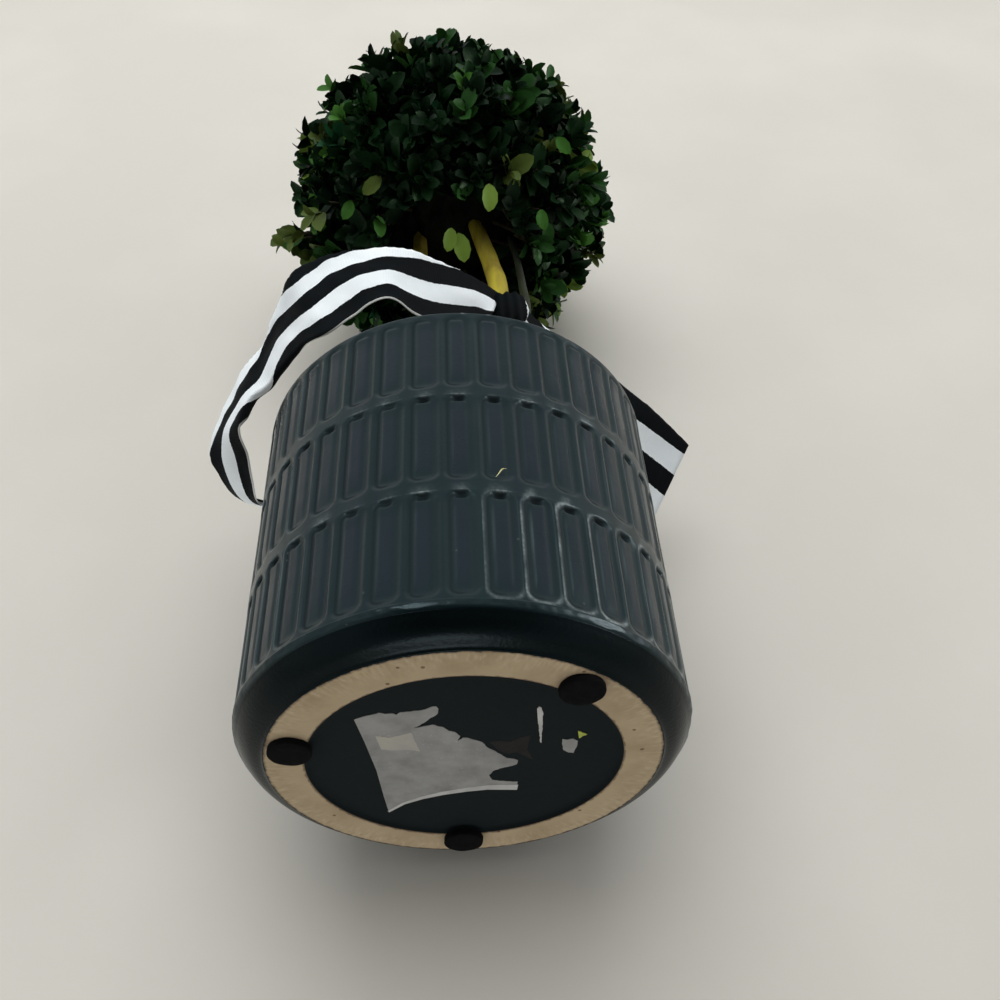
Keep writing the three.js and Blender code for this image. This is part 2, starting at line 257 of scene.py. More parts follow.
# scattered small specks or pits: 1 inside a speck
def buildSpecks():
    group, given, made = newGroup(
        "specks",
        {"Scale": (number, 300.0), "Size": (number, 0.12), "Share": (number, 0.3)},
        {"Mask": number})
    cells = addNode(group, "ShaderNodeTexVoronoi", {"Vector": objectPlace(group), "Scale": given["Scale"]})
    near = doMath(group, "LESS_THAN", cells.outputs["Distance"], given["Size"])
    chosen = addNode(group, "ShaderNodeSeparateColor", {"Color": cells.outputs["Color"]}).outputs[0]
    picked = doMath(group, "LESS_THAN", chosen, given["Share"])
    group.links.new(multiply(group, near, picked), made["Mask"])
    return group


# streaks that run up and down, as bark, dry fibres and runs of glaze have
def buildStreaks():
    group, given, made = newGroup(
        "upwardStreaks",
        {"Scale": (number, 500.0), "Stretch": (number, 0.15)},
        {"Mask": number})
    squash = addNode(group, "ShaderNodeCombineXYZ", {"X": 1.0, "Y": 1.0, "Z": given["Stretch"]}).outputs[0]
    place = {0: objectPlace(group), 1: squash}
    stretched = addNode(group, "ShaderNodeVectorMath", place, operation="MULTIPLY").outputs[0]
    lines = noiseAt(group, stretched, given["Scale"], 4.0)
    group.links.new(mapRange(group, lines, 0.35, 0.65), made["Mask"])
    return group


mottle, fineRelief, specks, upwardStreaks = buildMottle(), buildRelief(), buildSpecks(), buildStreaks()


def newMaterial(name, roughness=0.6, **sockets):
    material = bpy.data.materials.new(name)
    material.use_nodes = True
    tree = material.node_tree
    shader = tree.nodes["Principled BSDF"]
    shader.inputs["Roughness"].default_value = roughness
    for title, value in sockets.items():
        shader.inputs[title.replace("_", " ")].default_value = value
    return material, tree, shader


def bumpSurface(tree, shader, height, distance, strength):
    bump = addNode(tree, "ShaderNodeBump", {"Height": height, "Distance": distance, "Strength": strength})
    tree.links.new(bump.outputs["Normal"], shader.inputs["Normal"])


# relief is the scale, depth and strength of fine bumps
def finishSurface(tree, shader, tone=None, relief=None):
    if tone:
        tree.links.new(tone, shader.inputs["Base Color"])
    if relief:
        bumps = useGroup(tree, fineRelief, Scale=relief[0], Depth=relief[1], Strength=relief[2])
        tree.links.new(bumps.outputs["Normal"], shader.inputs["Normal"])


# a material that drifts between two colours
def cloudyMaterial(name, colours, scale, roughness, relief=None, **sockets):
    material, tree, shader = newMaterial(name, roughness, **sockets)
    tone = useGroup(tree, mottle, First=colours[0], Second=colours[1], Scale=scale)
    finishSurface(tree, shader, tone.outputs["Colour"], relief)
    return material


# Camera, as the photo was taken: looking up at the foot of the pot, which lies on its side

cameraView = {
    "place": (3.009, -263.888, -140.075),
    "right": (0.99892, 0.0, -0.04648),
    "down": (-0.03436, 0.67342, -0.73846),
    "ahead": (0.0313, 0.73926, 0.6727),
    "lens": 37.88,
}


def placeCamera():
    data = bpy.data.cameras.new("camera")
    data.lens, data.sensor_width = cameraView["lens"], 36.0
    data.clip_start, data.clip_end = 0.01, 50.0
    camera = bpy.data.objects.new("camera", data)
    bpy.context.scene.collection.objects.link(camera)
    right, down, ahead = (Vector(cameraView[k]).normalized() for k in ("right", "down", "ahead"))
    turn = Matrix((right, -down, -ahead)).transposed()
    camera.matrix_world = Matrix.Translation(Vector(cameraView["place"]) * mm) @ turn.to_4x4()
    bpy.context.scene.camera = camera


placeCamera()
print("camera placed")


# Pot: pressed flutes in three rows, a bare clay foot ring and a glazed recess under it

potShape = {
    "radius": 64.0,
    "rimZ": 120.9,
    "rimRounding": 1.3,
    # the underside from the middle outwards, as radius and height: the recess, the bare ring, the slope with
    # its step and ridge, and the bead at the wall's foot; then the inside from the rim down
    "recess": ((14, 3.2), (26, 3.2), (36, 3.2), (41, 3.2), (42.6, 3.2), (43.2, 3.08), (43.5, 2.7),
               (43.7, 2.35), (43.95, 2.1)),
    "ring": ((44.4, 2.0), (46, 2.0), (48.5, 2.0), (51, 2.0), (53.2, 2.0), (54.2, 2.0), (54.7, 2.03)),
    "shoulder": ((54.85, 2.03), (55.1, 2.3), (55.4, 2.6), (55.8, 2.85), (56.4, 3.1), (57.1, 3.38),
                 (57.8, 3.67), (58.4, 3.96), (59.0, 4.32), (59.6, 4.76), (60.2, 5.28), (60.8, 5.88),
                 (61.35, 6.5), (61.8, 7.08), (62.2, 7.65), (62.55, 8.2), (62.9, 8.62), (63.25, 8.95)),
    "bead": ((63.5, 9.25), (63.64, 9.6), (63.77, 9.95), (63.9, 10.3), (64.0, 10.65), (64.04, 10.9)),
    "lining": ((58.5, 117), (58.5, 112), (58.5, 100), (58.5, 60), (58.5, 9.5), (30, 9.5)),
    "unevenness": 0.14,  # of the thrown wall
    "beadLumps": ((9, 4), (3.5, 7), (1.7, 9)),  # sizes of the bead's lumps, each with its seed
    "beadLumpiness": 0.014,
    "chipsAbove": 1.15,  # a higher value leaves fewer pale chips on the rim
}

fluteShape = {
    "count": 40,
    "turn": 1.4,  # degrees from +X to the middle of a flute
    "halfWidth": 4.6,
    "corner": 3.5,
    "edgeRounding": 0.5,
    "wall": 1.9,  # width of the sloping side of a pocket
    "topWall": 1.3,  # the same at its upper end, which rolls in over a lip
    "depth": 0.9,
    "cushion": 0.42,  # how far the middle of a pocket swells up again
    "cushionFrom": 1.8,
    "cushionEdge": 1.4,
    "lip": (2.6, 0.27),  # half width and half height of the painted highlight over the upper end
    "line": (0.05, 0.2),  # where the glaze thins along a pocket's outline, under a painted highlight, and how wide
    "thinLine": (2.7, 0.32),  # the same over the cushion's edge
    "lit": (-0.1, 0.58),  # the same where the side light catches the bottom row
    "gutter": (1.35, 0.5),  # where thick glaze and painted shade lie inside the outline, and how wide
    "litFrom": (0.05, 0.4, 0.4),  # bearing from the lens beyond which a row is lit from the right
    "lowerRamp": 3.6,
    "upperRamp": 5.5,  # over which the upper corners slope in; only the middle drops steeply
    "steepHalf": 2.2,
    "steepness": (1, 1, 0.12),  # of that drop and its dimple, row by row
    "lens": (2.0, 0.95, 0.7),  # half width, half height and depth of the dimple under the upper end
    "lensUnder": 1.25,  # from the pocket's upper edge down to the dimple's middle
    "rows": ((11.4, 46.2), (49.6, 83.2), (86.2, 119.2)),
    # where points lie close together: distances from a pocket's ends and from its middle line
    "ends": (-0.4, -0.15, 0.05, 0.3, 0.55, 0.85, 1.15, 1.45, 1.75, 2.1, 2.5, 2.9, 3.3, 4.2),
    "steps": (0, 0.8, 1.4, 1.8, 2.15, 2.5, 2.9, 3.4, 3.8, 4.15, 4.4, 4.6, 4.8),
}

potFinish = {
    "glaze": (0.0024, 0.0088, 0.0092, 1),
    "glazeLight": (0.0044, 0.0120, 0.0122, 1),
    "sheen": (0.60, 0.93, 1.0, 1),
    "gloss": 0.27,
    "roughness": (0.27, 0.36),
    "slopeRoughness": 0.14,
    "dullRoughness": 0.95,
    # on the pockets' swollen middles, a painted bluish reflection
    "pillowReflection": (0.0064, 0.0088, 0.0150, 1),
    "thinGlazeAndHighlight": (0.095, 0.128, 0.130, 1),  # where the glaze thins over an edge, with a painted highlight
    # painted highlights on the pockets' lips and along the lit bottom row, and the rim's pale chips
    "glint": (0.21, 0.24, 0.24, 1),
    "pooledAndShaded": (0.0012, 0.0022, 0.0026, 1),  # thick glaze and painted shade in the dimples, under the bead and round the ring
    "dust": (0.12, 0.12, 0.11, 1),
    "clay": (0.445, 0.345, 0.215, 1),
    "clayDark": (0.33, 0.240, 0.140, 1),
    "clayPale": (0.56, 0.46, 0.32, 1),
    "pit": (0.14, 0.075, 0.035, 1),
    "recess": (0.0016, 0.0014, 0.0010, 1),
    "burn": (0.10, 0.055, 0.028, 1),  # the ring's scorched edges
}

# where the pot's surfaces change, as radii and heights in metres; a pair is from where to where
glazePlaces = {
    "ringOutside": (0.05455, 0.05485),
    "ringInside": (0.04385, 0.0440),
    "ringBelow": 0.0026,
    "recessBelow": 0.004,
    "slopeStarts": (0.0040, 0.0048),
    "slopeEnds": (0.0094, 0.0086),
    "dullAbove": (0.0088, 0.0096),
    "dullBelow": (0.0036, 0.0030),
    "trimmed": (0.046, 0.0535),
    "scorchedOutside": (0.0540, 0.0547),
    "scorchedInside": (0.0446, 0.0441),
}


# 1 along a line some way inside a pocket's outline
def lineInside(inside, key):
    at, size = fluteShape[key]
    return bell(inside - at, size)


# depth of the pressed pattern in mm, with masks from 0 to 1: a pocket's outline, where the glaze thins
# under a painted highlight; painted highlights on its upper lip and along the lit bottom row; the dimple
# under the lip and a line inside the outline, where painted shade lies; and the swollen middle, with a
# painted bluish reflection
def pressedPattern(across, flute, z):
    shape = fluteShape
    depth, outline, glint, dimple, pillowReflection = np.zeros((5,) + across.shape)
    # 0 towards the lens and more to its right
    bearing = math.radians(shape["turn"]) + flute * 2 * math.pi / shape["count"] + 1.5 * math.pi
    bearing = bearing % (2 * math.pi) - math.pi
    for row, (low, high) in enumerate(shape["rows"]):
        fromRight = smoothStep((bearing - shape["litFrom"][row]) / 0.3)
        fromLeft = smoothStep((-bearing - 0.5) / 0.3)
        steepness = shape["steepness"][row] * (1 - 0.5 * bell(bearing + 0.38, 0.3))
        dice = np.random.default_rng(50 + row)
        narrower, shift, weight, lean = (dice.uniform(-1, 1, shape["count"])[flute] for _ in range(4))
        bottom, top = low + 0.25 * shift, high + 0.15 * shift
        up, down = z - bottom, top - z
        qx = np.abs(across) - (shape["halfWidth"] - 0.12 * narrower - shape["corner"])
        qz = np.abs(z - (bottom + top) / 2) - ((top - bottom) / 2 - shape["corner"])
        rounded = np.hypot(np.maximum(qx, 0), np.maximum(qz, 0))
        inside = shape["corner"] - rounded - np.minimum(np.maximum(qx, qz), 0)

        soft = 0.5 * (inside + np.hypot(inside, shape["edgeRounding"]))
        wall = shape["wall"] + (shape["topWall"] - shape["wall"]) * smoothStep((3 - down) / 2)
        steep = 1 - (1 - np.clip(soft / wall, 0, 1)) ** 2
        side = steep + (smoothStep(soft / wall) - steep) * smoothStep((2.4 - down) / 1.2)
        swollen = smoothStep((inside - shape["cushionFrom"]) / shape["cushionEdge"])
        cushion = shape["cushion"] * (1 + 0.3 * lean) * swollen * smoothStep((up - 1.5) / 6)
        wide, tall, deep = shape["lens"]
        wide = np.maximum(wide * (1.25 - 0.3 * down), 0.6)
        spot = bell(across, wide, 4) * bell(down - shape["lensUnder"] - 0.07 * across**2, tall, 4)
        spot *= (1 - 0.25 * weight) * steepness
        corners = 0.2 + 0.8 * smoothStep(down / shape["upperRamp"])
        ramp = 0.45 + 0.55 * smoothStep(up / shape["lowerRamp"])
        ramp *= corners + (1 - corners) * steepness * bell(across, shape["steepHalf"])
        depth += side * shape["depth"] * (1 + 0.1 * weight) * ramp - cushion + deep * spot

        leftward = smoothStep(0.5 - across / 2.5)
        line = lineInside(inside, "line") * (0.45 + 0.55 * leftward)
        line *= np.minimum(0.02 + 0.55 * (fromLeft + fromRight), 0.6)
        ends = smoothStep((up - 3) / 6) * smoothStep((down - 3) / 6)
        thin = lineInside(inside, "thinLine") * leftward * ends * (0.1 + 0.3 * fromRight)
        outline = np.maximum(outline, np.maximum(line, thin) * (1 - 0.2 * row))
        lip = bell(across, shape["lip"][0]) * bell(down + 0.05, shape["lip"][1])
        lip *= (1 + 0.4 * lean) * (row < 2)
        lit = lineInside(inside, "lit") * np.maximum(leftward, smoothStep((4 - up) / 3))
        lit *= fromRight * (0.85 + 0.25 * lean) * (row == 0)
        glint = np.maximum(glint, np.maximum(lip, lit))
        gutter = lineInside(inside, "gutter") * (0.2 + 0.5 * leftward)
        dimple = np.maximum(dimple, np.maximum(spot, gutter))
        middle = swollen * smoothStep((up - 1) / 7) * smoothStep((down - 2) / 6)
        pillowReflection = np.maximum(pillowReflection, middle)
    return depth, outline, glint, dimple, pillowReflection


# how far the thrown wall falls short of its circle
def thrownDip(grid, radius, z):
    uneven = wobble(grid, 45, 3) * potShape["unevenness"] * smoothStep((z - 4) / 8) * (radius > 57)
    return np.abs(uneven) * 0.6


def makePot():
    shape, flutes = potShape, fluteShape
    pitch = 2 * math.pi / flutes["count"]
    steps = list(flutes["steps"])
    offsets = np.array([-s for s in steps[:0:-1]] + steps + [pitch * shape["radius"] / 2])
    flute = np.repeat(np.arange(flutes["count"]), len(offsets))
    across = np.tile(offsets, flutes["count"])
    turn = math.radians(flutes["turn"]) + flute * pitch + across / shape["radius"]

    top, rounding = shape["rimZ"], shape["rimRounding"]
    wallZ = []
    for low, high in flutes["rows"]:
        wallZ += [low + e for e in flutes["ends"]] + [high - e for e in flutes["ends"]]
        wallZ += list(np.linspace(low + 7, high - 7, 6))
    wallZ = sorted(z for z in wallZ if z < top - rounding - 0.05)
    under = shape["recess"] + shape["ring"] + shape["shoulder"] + shape["bead"]
    rim = [(shape["radius"] - rounding * (1 - math.cos(a)), top - rounding * (1 - math.sin(a)))
           for a in np.linspace(0, math.pi / 2, 6)]
    rim += [(shape["lining"][0][0] + rounding * (1 - math.sin(a)), top - rounding * (1 - math.cos(a)))
            for a in np.linspace(0, math.pi / 2, 5)]
    wall = [(shape["radius"], z) for z in wallZ]
    profile = np.array(list(under) + wall + rim + list(shape["lining"]))
    r, z = profile[:, :1], profile[:, 1:]

    pattern = np.zeros((5, len(profile), len(turn)))
    wallRows = slice(len(under), len(under) + len(wallZ))
    pattern[:, wallRows] = pressedPattern(*np.broadcast_arrays(across, flute, z[wallRows]))
    depth, outline, glint, dimple, pillowReflection = pattern
    grid = roundAxis(r, turn, z)
    lumps = sum(size * wobble(grid, size, seed) for size, seed in shape["beadLumps"])
    beads = bell(z - 10.0, 0.9) * shape["beadLumpiness"] * lumps * (r > 63.4)
    radial = r - depth - thrownDip(grid, r, z) + beads

    # chips of thin glaze on the rim; lines where it thins over the flutes' edges, with painted highlight;
    # and thick glaze with painted shade in the dimples, under the bead and round the foot ring
    chips = bell(z - top + 0.5, 0.7) * (r > 60) * (wobble(grid, 4, 8) > shape["chipsAbove"])
    groove = bell(z - 8.2, 0.7) * (r > 62)
    edge = smoothStep(56.6 - r) * (r > 54.75) * (z > z.min())
    masks = {
        "thinGlazeAndHighlight": outline * (1 + 0.5 * wobble(grid, 14, 5)),
        "glint": np.maximum(glint * (0.62 + 0.42 * wobble(grid, 8, 6)), chips),
        "pooledAndShaded": np.maximum(dimple, np.maximum(groove, edge)),
        "pillowReflection": pillowReflection,
    }
    hubs = [(0, 0, profile[0, 1]), (0, 0, profile[-1, 1])]
    return closedMesh("potWall", roundAxis(radial, turn, z), hubs, masks)


def glazeMaterial():
    finish, at = potFinish, glazePlaces
    material, tree, shader = newMaterial(
        "charcoalGlaze", 0.3, Specular_Tint=finish["sheen"], Specular_IOR_Level=finish["gloss"])
    place = objectPlace(tree)
    x, y, height = addNode(tree, "ShaderNodeSeparateXYZ", {0: place}).outputs
    radius = doMath(tree, "SQRT", doMath(tree, "ADD", multiply(tree, x, x), multiply(tree, y, y)))
    ripple = mapRange(tree, noiseAt(tree, place, 520.0, 6.0), 0.3, 0.7, -0.0003, 0.0003)
    ragged = doMath(tree, "ADD", radius, ripple)

    # the bare ring, the recess inside it, and the slope outside it with its dull ends
    bare = multiply(tree, mapRange(tree, ragged, *at["ringOutside"], 1.0, 0.0),
                    mapRange(tree, radius, *at["ringInside"]))
    bare = multiply(tree, bare, doMath(tree, "LESS_THAN", height, at["ringBelow"]))
    recess = multiply(tree, doMath(tree, "LESS_THAN", radius, at["ringInside"][1]),
                      doMath(tree, "LESS_THAN", height, at["recessBelow"]))
    slope = multiply(tree, mapRange(tree, height, *at["slopeStarts"]),
                     mapRange(tree, height, *at["slopeEnds"]))
    dullEnds = doMath(tree, "MAXIMUM", mapRange(tree, height, *at["dullAbove"]),
                      mapRange(tree, height, *at["dullBelow"]))

    glaze = useGroup(tree, mottle, First=finish["glaze"], Second=finish["glazeLight"], Scale=38.0)
    dust = useGroup(tree, specks, Scale=260.0, Size=0.09, Share=0.06).outputs["Mask"]
    thinGlazeAndHighlight, glint, pooledAndShaded, pillowReflection = (
        pointMask(tree, mask) for mask in ("thinGlazeAndHighlight", "glint", "pooledAndShaded", "pillowReflection"))
    glint = multiply(tree, glint, mapRange(tree, noiseAt(tree, place, 900.0), 0.4, 0.6, 0.45, 1.0))
    runs = useGroup(tree, upwardStreaks, Scale=300.0, Stretch=0.04).outputs["Mask"]
    # a painted bluish reflection on the swollen middles, mixed half and half with the glaze's runs
    reflectionAndRuns = doMath(tree, "ADD", multiply(tree, pillowReflection, 0.5), multiply(tree, runs, 0.5))
    wall = paintOver(
        tree, glaze.outputs["Colour"], (reflectionAndRuns, 1.0, finish["pillowReflection"]), (thinGlazeAndHighlight, 0.8, finish["thinGlazeAndHighlight"]),
        (glint, 1.0, finish["glint"]), (pooledAndShaded, 1.0, finish["pooledAndShaded"]), (dust, 0.3, finish["dust"]),
        (recess, 1.0, finish["recess"]))

    clay = useGroup(tree, mottle, First=finish["clay"], Second=finish["clayDark"], Scale=70.0,
                    Low=0.45, High=0.8)
    pits = useGroup(tree, specks, Scale=330.0, Size=0.2, Share=0.07).outputs["Mask"]
    # flecks that run outwards, as a trimming tool leaves, by millimetres along and across the ring
    angle = addNode(tree, "ShaderNodeTexGradient", {"Vector": place}, gradient_type="RADIAL").outputs["Fac"]
    inRing = {"X": multiply(tree, angle, 314.0), "Y": multiply(tree, radius, 330.0)}
    chatter = noiseAt(tree, addNode(tree, "ShaderNodeCombineXYZ", inRing).outputs[0], 0.9, 4.0)
    outerHalf = mapRange(tree, radius, *at["trimmed"])
    darker = multiply(tree, mapRange(tree, chatter, 0.52, 0.68), outerHalf)
    lighter = multiply(tree, mapRange(tree, chatter, 0.48, 0.34), outerHalf)
    scorched = doMath(tree, "MAXIMUM", mapRange(tree, ragged, *at["scorchedOutside"]),
                      mapRange(tree, ragged, *at["scorchedInside"]))
    bareClay = paintOver(tree, clay.outputs["Colour"], (darker, 0.6, finish["clayDark"]),
                         (lighter, 0.45, finish["clayPale"]), (pits, 0.8, finish["pit"]),
                         (scorched, 0.75, finish["burn"]))
    finishSurface(tree, shader, blendColours(tree, bare, wall, bareClay))

    satin = mapRange(tree, glaze.outputs["Mask"], 0.0, 1.0, *finish["roughness"])
    satin = blendNumbers(tree, slope, satin, finish["slopeRoughness"])
    dull = doMath(tree, "MAXIMUM", multiply(tree, pooledAndShaded, dullEnds), doMath(tree, "MAXIMUM", bare, recess))
    tree.links.new(blendNumbers(tree, dull, satin, finish["dullRoughness"]), shader.inputs["Roughness"])
    peel = multiply(tree, noiseAt(tree, place, 260.0, 1.0), 1.6)
    grain = doMath(tree, "ADD", noiseAt(tree, place, 750.0, 3.0), peel)
    bumps = doMath(tree, "SUBTRACT", grain, multiply(tree, multiply(tree, pits, bare), 2.0))
    bumpSurface(tree, shader, bumps, 0.00012, 0.35)
    return material


addPiece(makePot(), glazeMaterial(), ["pot"])


# Foot: a skin over the pot on the slope between the wall and the ring, less glossy and painted dark as shade

footSkin = {
    "over": 0.05,
    "thickness": 0.4,
    "sides": 320,
    "colours": ((0.0011, 0.0026, 0.0030, 1), (0.0022, 0.0040, 0.0044, 1)),
    "gloss": 0.09,
    "roughness": 0.24,
}


def makeFootSkin():
    profile = np.array(potShape["shoulder"])
    along = unit(np.gradient(profile, axis=0))
    outward = np.stack([along[:, 1], -along[:, 0]], -1)
    over = np.full((len(profile), 1), footSkin["over"])
    over[-1] *= -2  # its upper edge sinks into the pot
    loop = np.vstack([profile + outward * over, (profile - outward * footSkin["thickness"])[::-1]])
    turn = fullTurn(footSkin["sides"])
    r, z = loop[:, :1], loop[:, 1:]
    points = roundAxis(r - thrownDip(roundAxis(r, turn, z), r, z), turn, z).reshape(-1, 3)
    return makeMesh("potFootSkin", points, [gridFaces(len(loop) + 1, len(turn)) % len(points)])


shadedFootGlaze = cloudyMaterial(
    "shadedFootGlaze", footSkin["colours"], scale=38.0, roughness=footSkin["roughness"],
    relief=(900.0, 0.00016, 0.45), Specular_Tint=potFinish["sheen"], Specular_IOR_Level=footSkin["gloss"])
addPiece(makeFootSkin(), shadedFootGlaze)
print("pot made")


# Foot pads: soft black discs stuck on the ring

padShape = {
    "radius": 6.0,
    "thickness": 1.96,
    "edge": 0.35,
    "sides": 56,
    "places": {"pad_left": (-165, 48.0), "pad_right": (-51, 48.0), "pad_back": (92, 46.0)},
    "colours": ((0.0016, 0.0018, 0.0022, 1), (0.0034, 0.0036, 0.0042, 1)),
}


def makePad(name, bearing, out):
    radius, edge, tall = padShape["radius"], padShape["edge"], padShape["thickness"]
    profile = np.array([
        (radius * 0.55, 0.0), (radius - edge, 0.0), (radius - edge * 0.3, edge * 0.3), (radius, edge),
        (radius, tall - edge), (radius - edge * 0.4, tall), (radius * 0.55, tall)])
    rings = roundAxis(profile[:, :1], fullTurn(padShape["sides"]), profile[:, 1:])
    middle = roundAxis(out, math.radians(bearing), 0.0)
    rings[..., :2] *= 1 + 0.012 * wobble(rings + middle, 5, 11)[..., None]
    hubs = [middle, middle + [0, 0, tall]]
    return closedMesh(name.replace("_", "") + "Disc", rings + middle, hubs)


blackPad = cloudyMaterial("blackPad", padShape["colours"], scale=500.0, roughness=0.92,
                          relief=(2600.0, 0.0001, 0.5), Specular_IOR_Level=0.06)
for padName, (bearing, out) in padShape["places"].items():
    addPiece(makePad(padName, bearing, out), blackPad, [padName])
print("pads made")


# Remains of a torn blank label in the recess

labelShape = {
    "z": 3.2,
    "thickness": 0.16,
    "tear": 0.12,  # how far the torn edge wanders
    "torn": ((-28.2, -23.9), (-26, -25.1), (-23.4, -26), (-21.5, -26.8), (-20, -26.1), (-18.1, -26.2),
             (-17.1, -25.5), (-16.1, -26.6), (-14.1, -26.8), (-11.7, -27.1), (-10.3, -27.3), (-8.8, -28.1),
             (-7.7, -28.8), (-6.7, -28.8), (-6.2, -27.5), (-6.5, -25.3), (-7.6, -23.9), (-8.7, -23),
             (-9.7, -21.6), (-11.5, -19.7), (-13.2, -18.6), (-11.5, -18.8), (-9.8, -19.3), (-8.1, -19.9),
             (-6.8, -18.9), (-5.4, -18.4), (-3.9, -16.3), (-2.3, -15.5), (-1, -13.3), (-1.8, -10.8),
             (-0.3, -12.4), (1.1, -12.2), (2.8, -11), (4.9, -9.6), (6.1, -6.9), (7.6, -5.2), (9.7, -2.8),
             (11.6, -0.3), (13.6, 0.3), (14.7, 1.3), (14.4, 3.3), (12.5, 4.3), (9.7, 5.3), (7.7, 6.7),
             (6.5, 9.1), (7.4, 11.9), (9.7, 12.8), (12.5, 13.3), (14.7, 13.7)),
    "cut": ((14.6, 18.6), (6.0, 17.7), (0.0, 18.4), (-6.7, 19.8), (-12.7, 21.8), (-18.2, 24.6),
            (-23.3, 29.5), (-24.0, 19.2), (-24.8, 3.4), (-26.6, -12.3)),
    "border": ((14.6, 18.4), (6.0, 17.5), (0.0, 18.2), (-6.7, 19.6), (-12.7, 21.6), (-18.2, 24.4),
               (-23.1, 29.0)),
    "borderWidth": 3.0,
    "sliver": ((19.3, -25.6), (19.8, -26.6), (20.5, -26), (20.9, -23.8), (21, -19), (20.9, -13.3),
               (20.9, -7.9), (20.6, -8.3), (20.2, -13.3), (19.7, -19.1)),
    "scrap": ((26.6, -9.5), (28.1, -9), (29.5, -9.5), (30.9, -8.1), (30.8, -5.5), (30.4, -3.8), (30, -1.7),
              (28.5, -2.1), (27.1, -3.6), (26.6, -6.9)),
    "tip": ((30.6, -13.5), (31.9, -12.5), (33.2, -11.5), (32, -10.8), (31.1, -9.6)),
    "patch": ((-23.5, -15.5), (-20.2, -14.2), (-16.9, -15.2), (-13.9, -16.4), (-13.3, -12.4), (-12.1, -6.2),
              (-15.3, -7.4), (-19.5, -7.3), (-22.5, -8.2)),
    "glue": ((6.7, -9.4), (9.7, -9.9), (12.4, -9), (15.3, -11.1), (18, -12.1), (17.5, -8.5), (17.1, -4.4),
             (18.9, 1.5), (16.3, -1.2), (14.1, -3.4), (11.9, -2.4), (9.1, -5.1)),
    "clean": (0.56, 0.56, 0.54, 1),
    # two colours and the scale at which they change
    "papers": {
        "wornPaper": ((0.30, 0.30, 0.285, 1), (0.20, 0.20, 0.19, 1), 160.0),
        "cleanPaper": ((0.56, 0.56, 0.54, 1), (0.30, 0.30, 0.285, 1), 90.0),
        "barePatch": ((0.40, 0.385, 0.33, 1), (0.30, 0.30, 0.285, 1), 130.0),
        "glueSmear": ((0.0085, 0.0085, 0.0080, 1), (0.003, 0.003, 0.003, 1), 420.0),
        "dryLeafTip": ((0.50, 0.55, 0.10, 1), (0.25, 0.30, 0.05, 1), 400.0),
    },
}


# a flat outline with small steps put into it, those on torn edges pushed to and fro
def tearOutline(seed, torn, cut=()):
    dice = random.Random(seed)
    outline = list(torn) + list(cut)
    made = []
    for i, (a, b) in enumerate(zip(outline, outline[1:] + outline[:1])):
        a, b = Vector(a), Vector(b)
        ragged = i < len(torn) - 1
        steps = max(1, int((b - a).length / 0.7)) if ragged else 3
        side = Vector((a.y - b.y, b.x - a.x)).normalized()
        for k in range(steps):
            push = dice.uniform(-1, 1) * labelShape["tear"] * (ragged and k > 0)
            made.append(a.lerp(b, k / steps) + side * push)
    return made


# the strip along the cut edge, which narrows to nothing
def borderOutline():
    border = [Vector(p) for p in labelShape["border"]]
    inner = []
    for i, p in enumerate(border):
        along = (border[min(i + 1, len(border) - 1)] - border[max(i - 1, 0)]).normalized()
        width = labelShape["borderWidth"] * (1 - 0.75 * i / (len(border) - 1))
        inner.append(p + Vector((-along.y, along.x)) * width)
    return border + inner[::-1]


# a thin sheet under the recess: the outline's face, its back, and the edge between
def paperMesh(name, outline, z, thickness):
    flat = [Vector((p[0], p[1], 0)) for p in outline]
    tris = np.array(tessellate_polygon([flat]))
    lower = np.array([(p.x, p.y, z - thickness) for p in flat])
    n = len(flat)
    ends = np.vstack([tris, tris[:, ::-1] + n])
    mesh = makeMesh(name, np.vstack([lower, lower + [0, 0, thickness]]), [ends, gridFaces(2, n)])
    mesh.shade_flat()
    return mesh


def paperMaterial(name, first, second, scale):
    material, tree, shader = newMaterial(name, 0.9, Specular_IOR_Level=0.25)
    tone = useGroup(tree, mottle, First=first, Second=second, Scale=scale, Low=0.35, High=0.75)
    flecks = useGroup(tree, specks, Scale=900.0, Size=0.2, Share=0.12).outputs["Mask"]
    tone = paintOver(tree, tone.outputs["Colour"], (flecks, 0.25, labelShape["clean"]))
    finishSurface(tree, shader, tone, relief=(1400.0, 0.0002, 0.5))
    return material


def makeLabel():
    shape, z, thick = labelShape, labelShape["z"], labelShape["thickness"]
    papers = {name: paperMaterial(name, *look) for name, look in shape["papers"].items()}
    for name, outline, level, thickness, paper, slotName in (
            ("labelRemnant", tearOutline(4, shape["torn"], shape["cut"]), z, thick, "wornPaper", "glaze"),
            ("labelBorder", borderOutline(), z - thick, 0.05, "cleanPaper", "glaze"),
            ("labelPatch", tearOutline(8, shape["patch"]), z - thick, 0.04, "barePatch", "glaze"),
            ("labelGlue", tearOutline(9, shape["glue"]), z, 0.04, "glueSmear", "glaze"),
            ("labelSliver", tearOutline(5, shape["sliver"]), z, 0.12, "cleanPaper", "glaze"),
            ("labelScrap", tearOutline(6, shape["scrap"]), z, 0.12, "wornPaper", "glaze"),
            ("leafTip", tearOutline(7, shape["tip"]), z, 0.2, "dryLeafTip", "leaves")):
        addPiece(paperMesh(name, outline, level, thickness), papers[paper])


makeLabel()
print("label remnants made")


# Stems: three bare limbs that lean together at the tie and spread into the ball

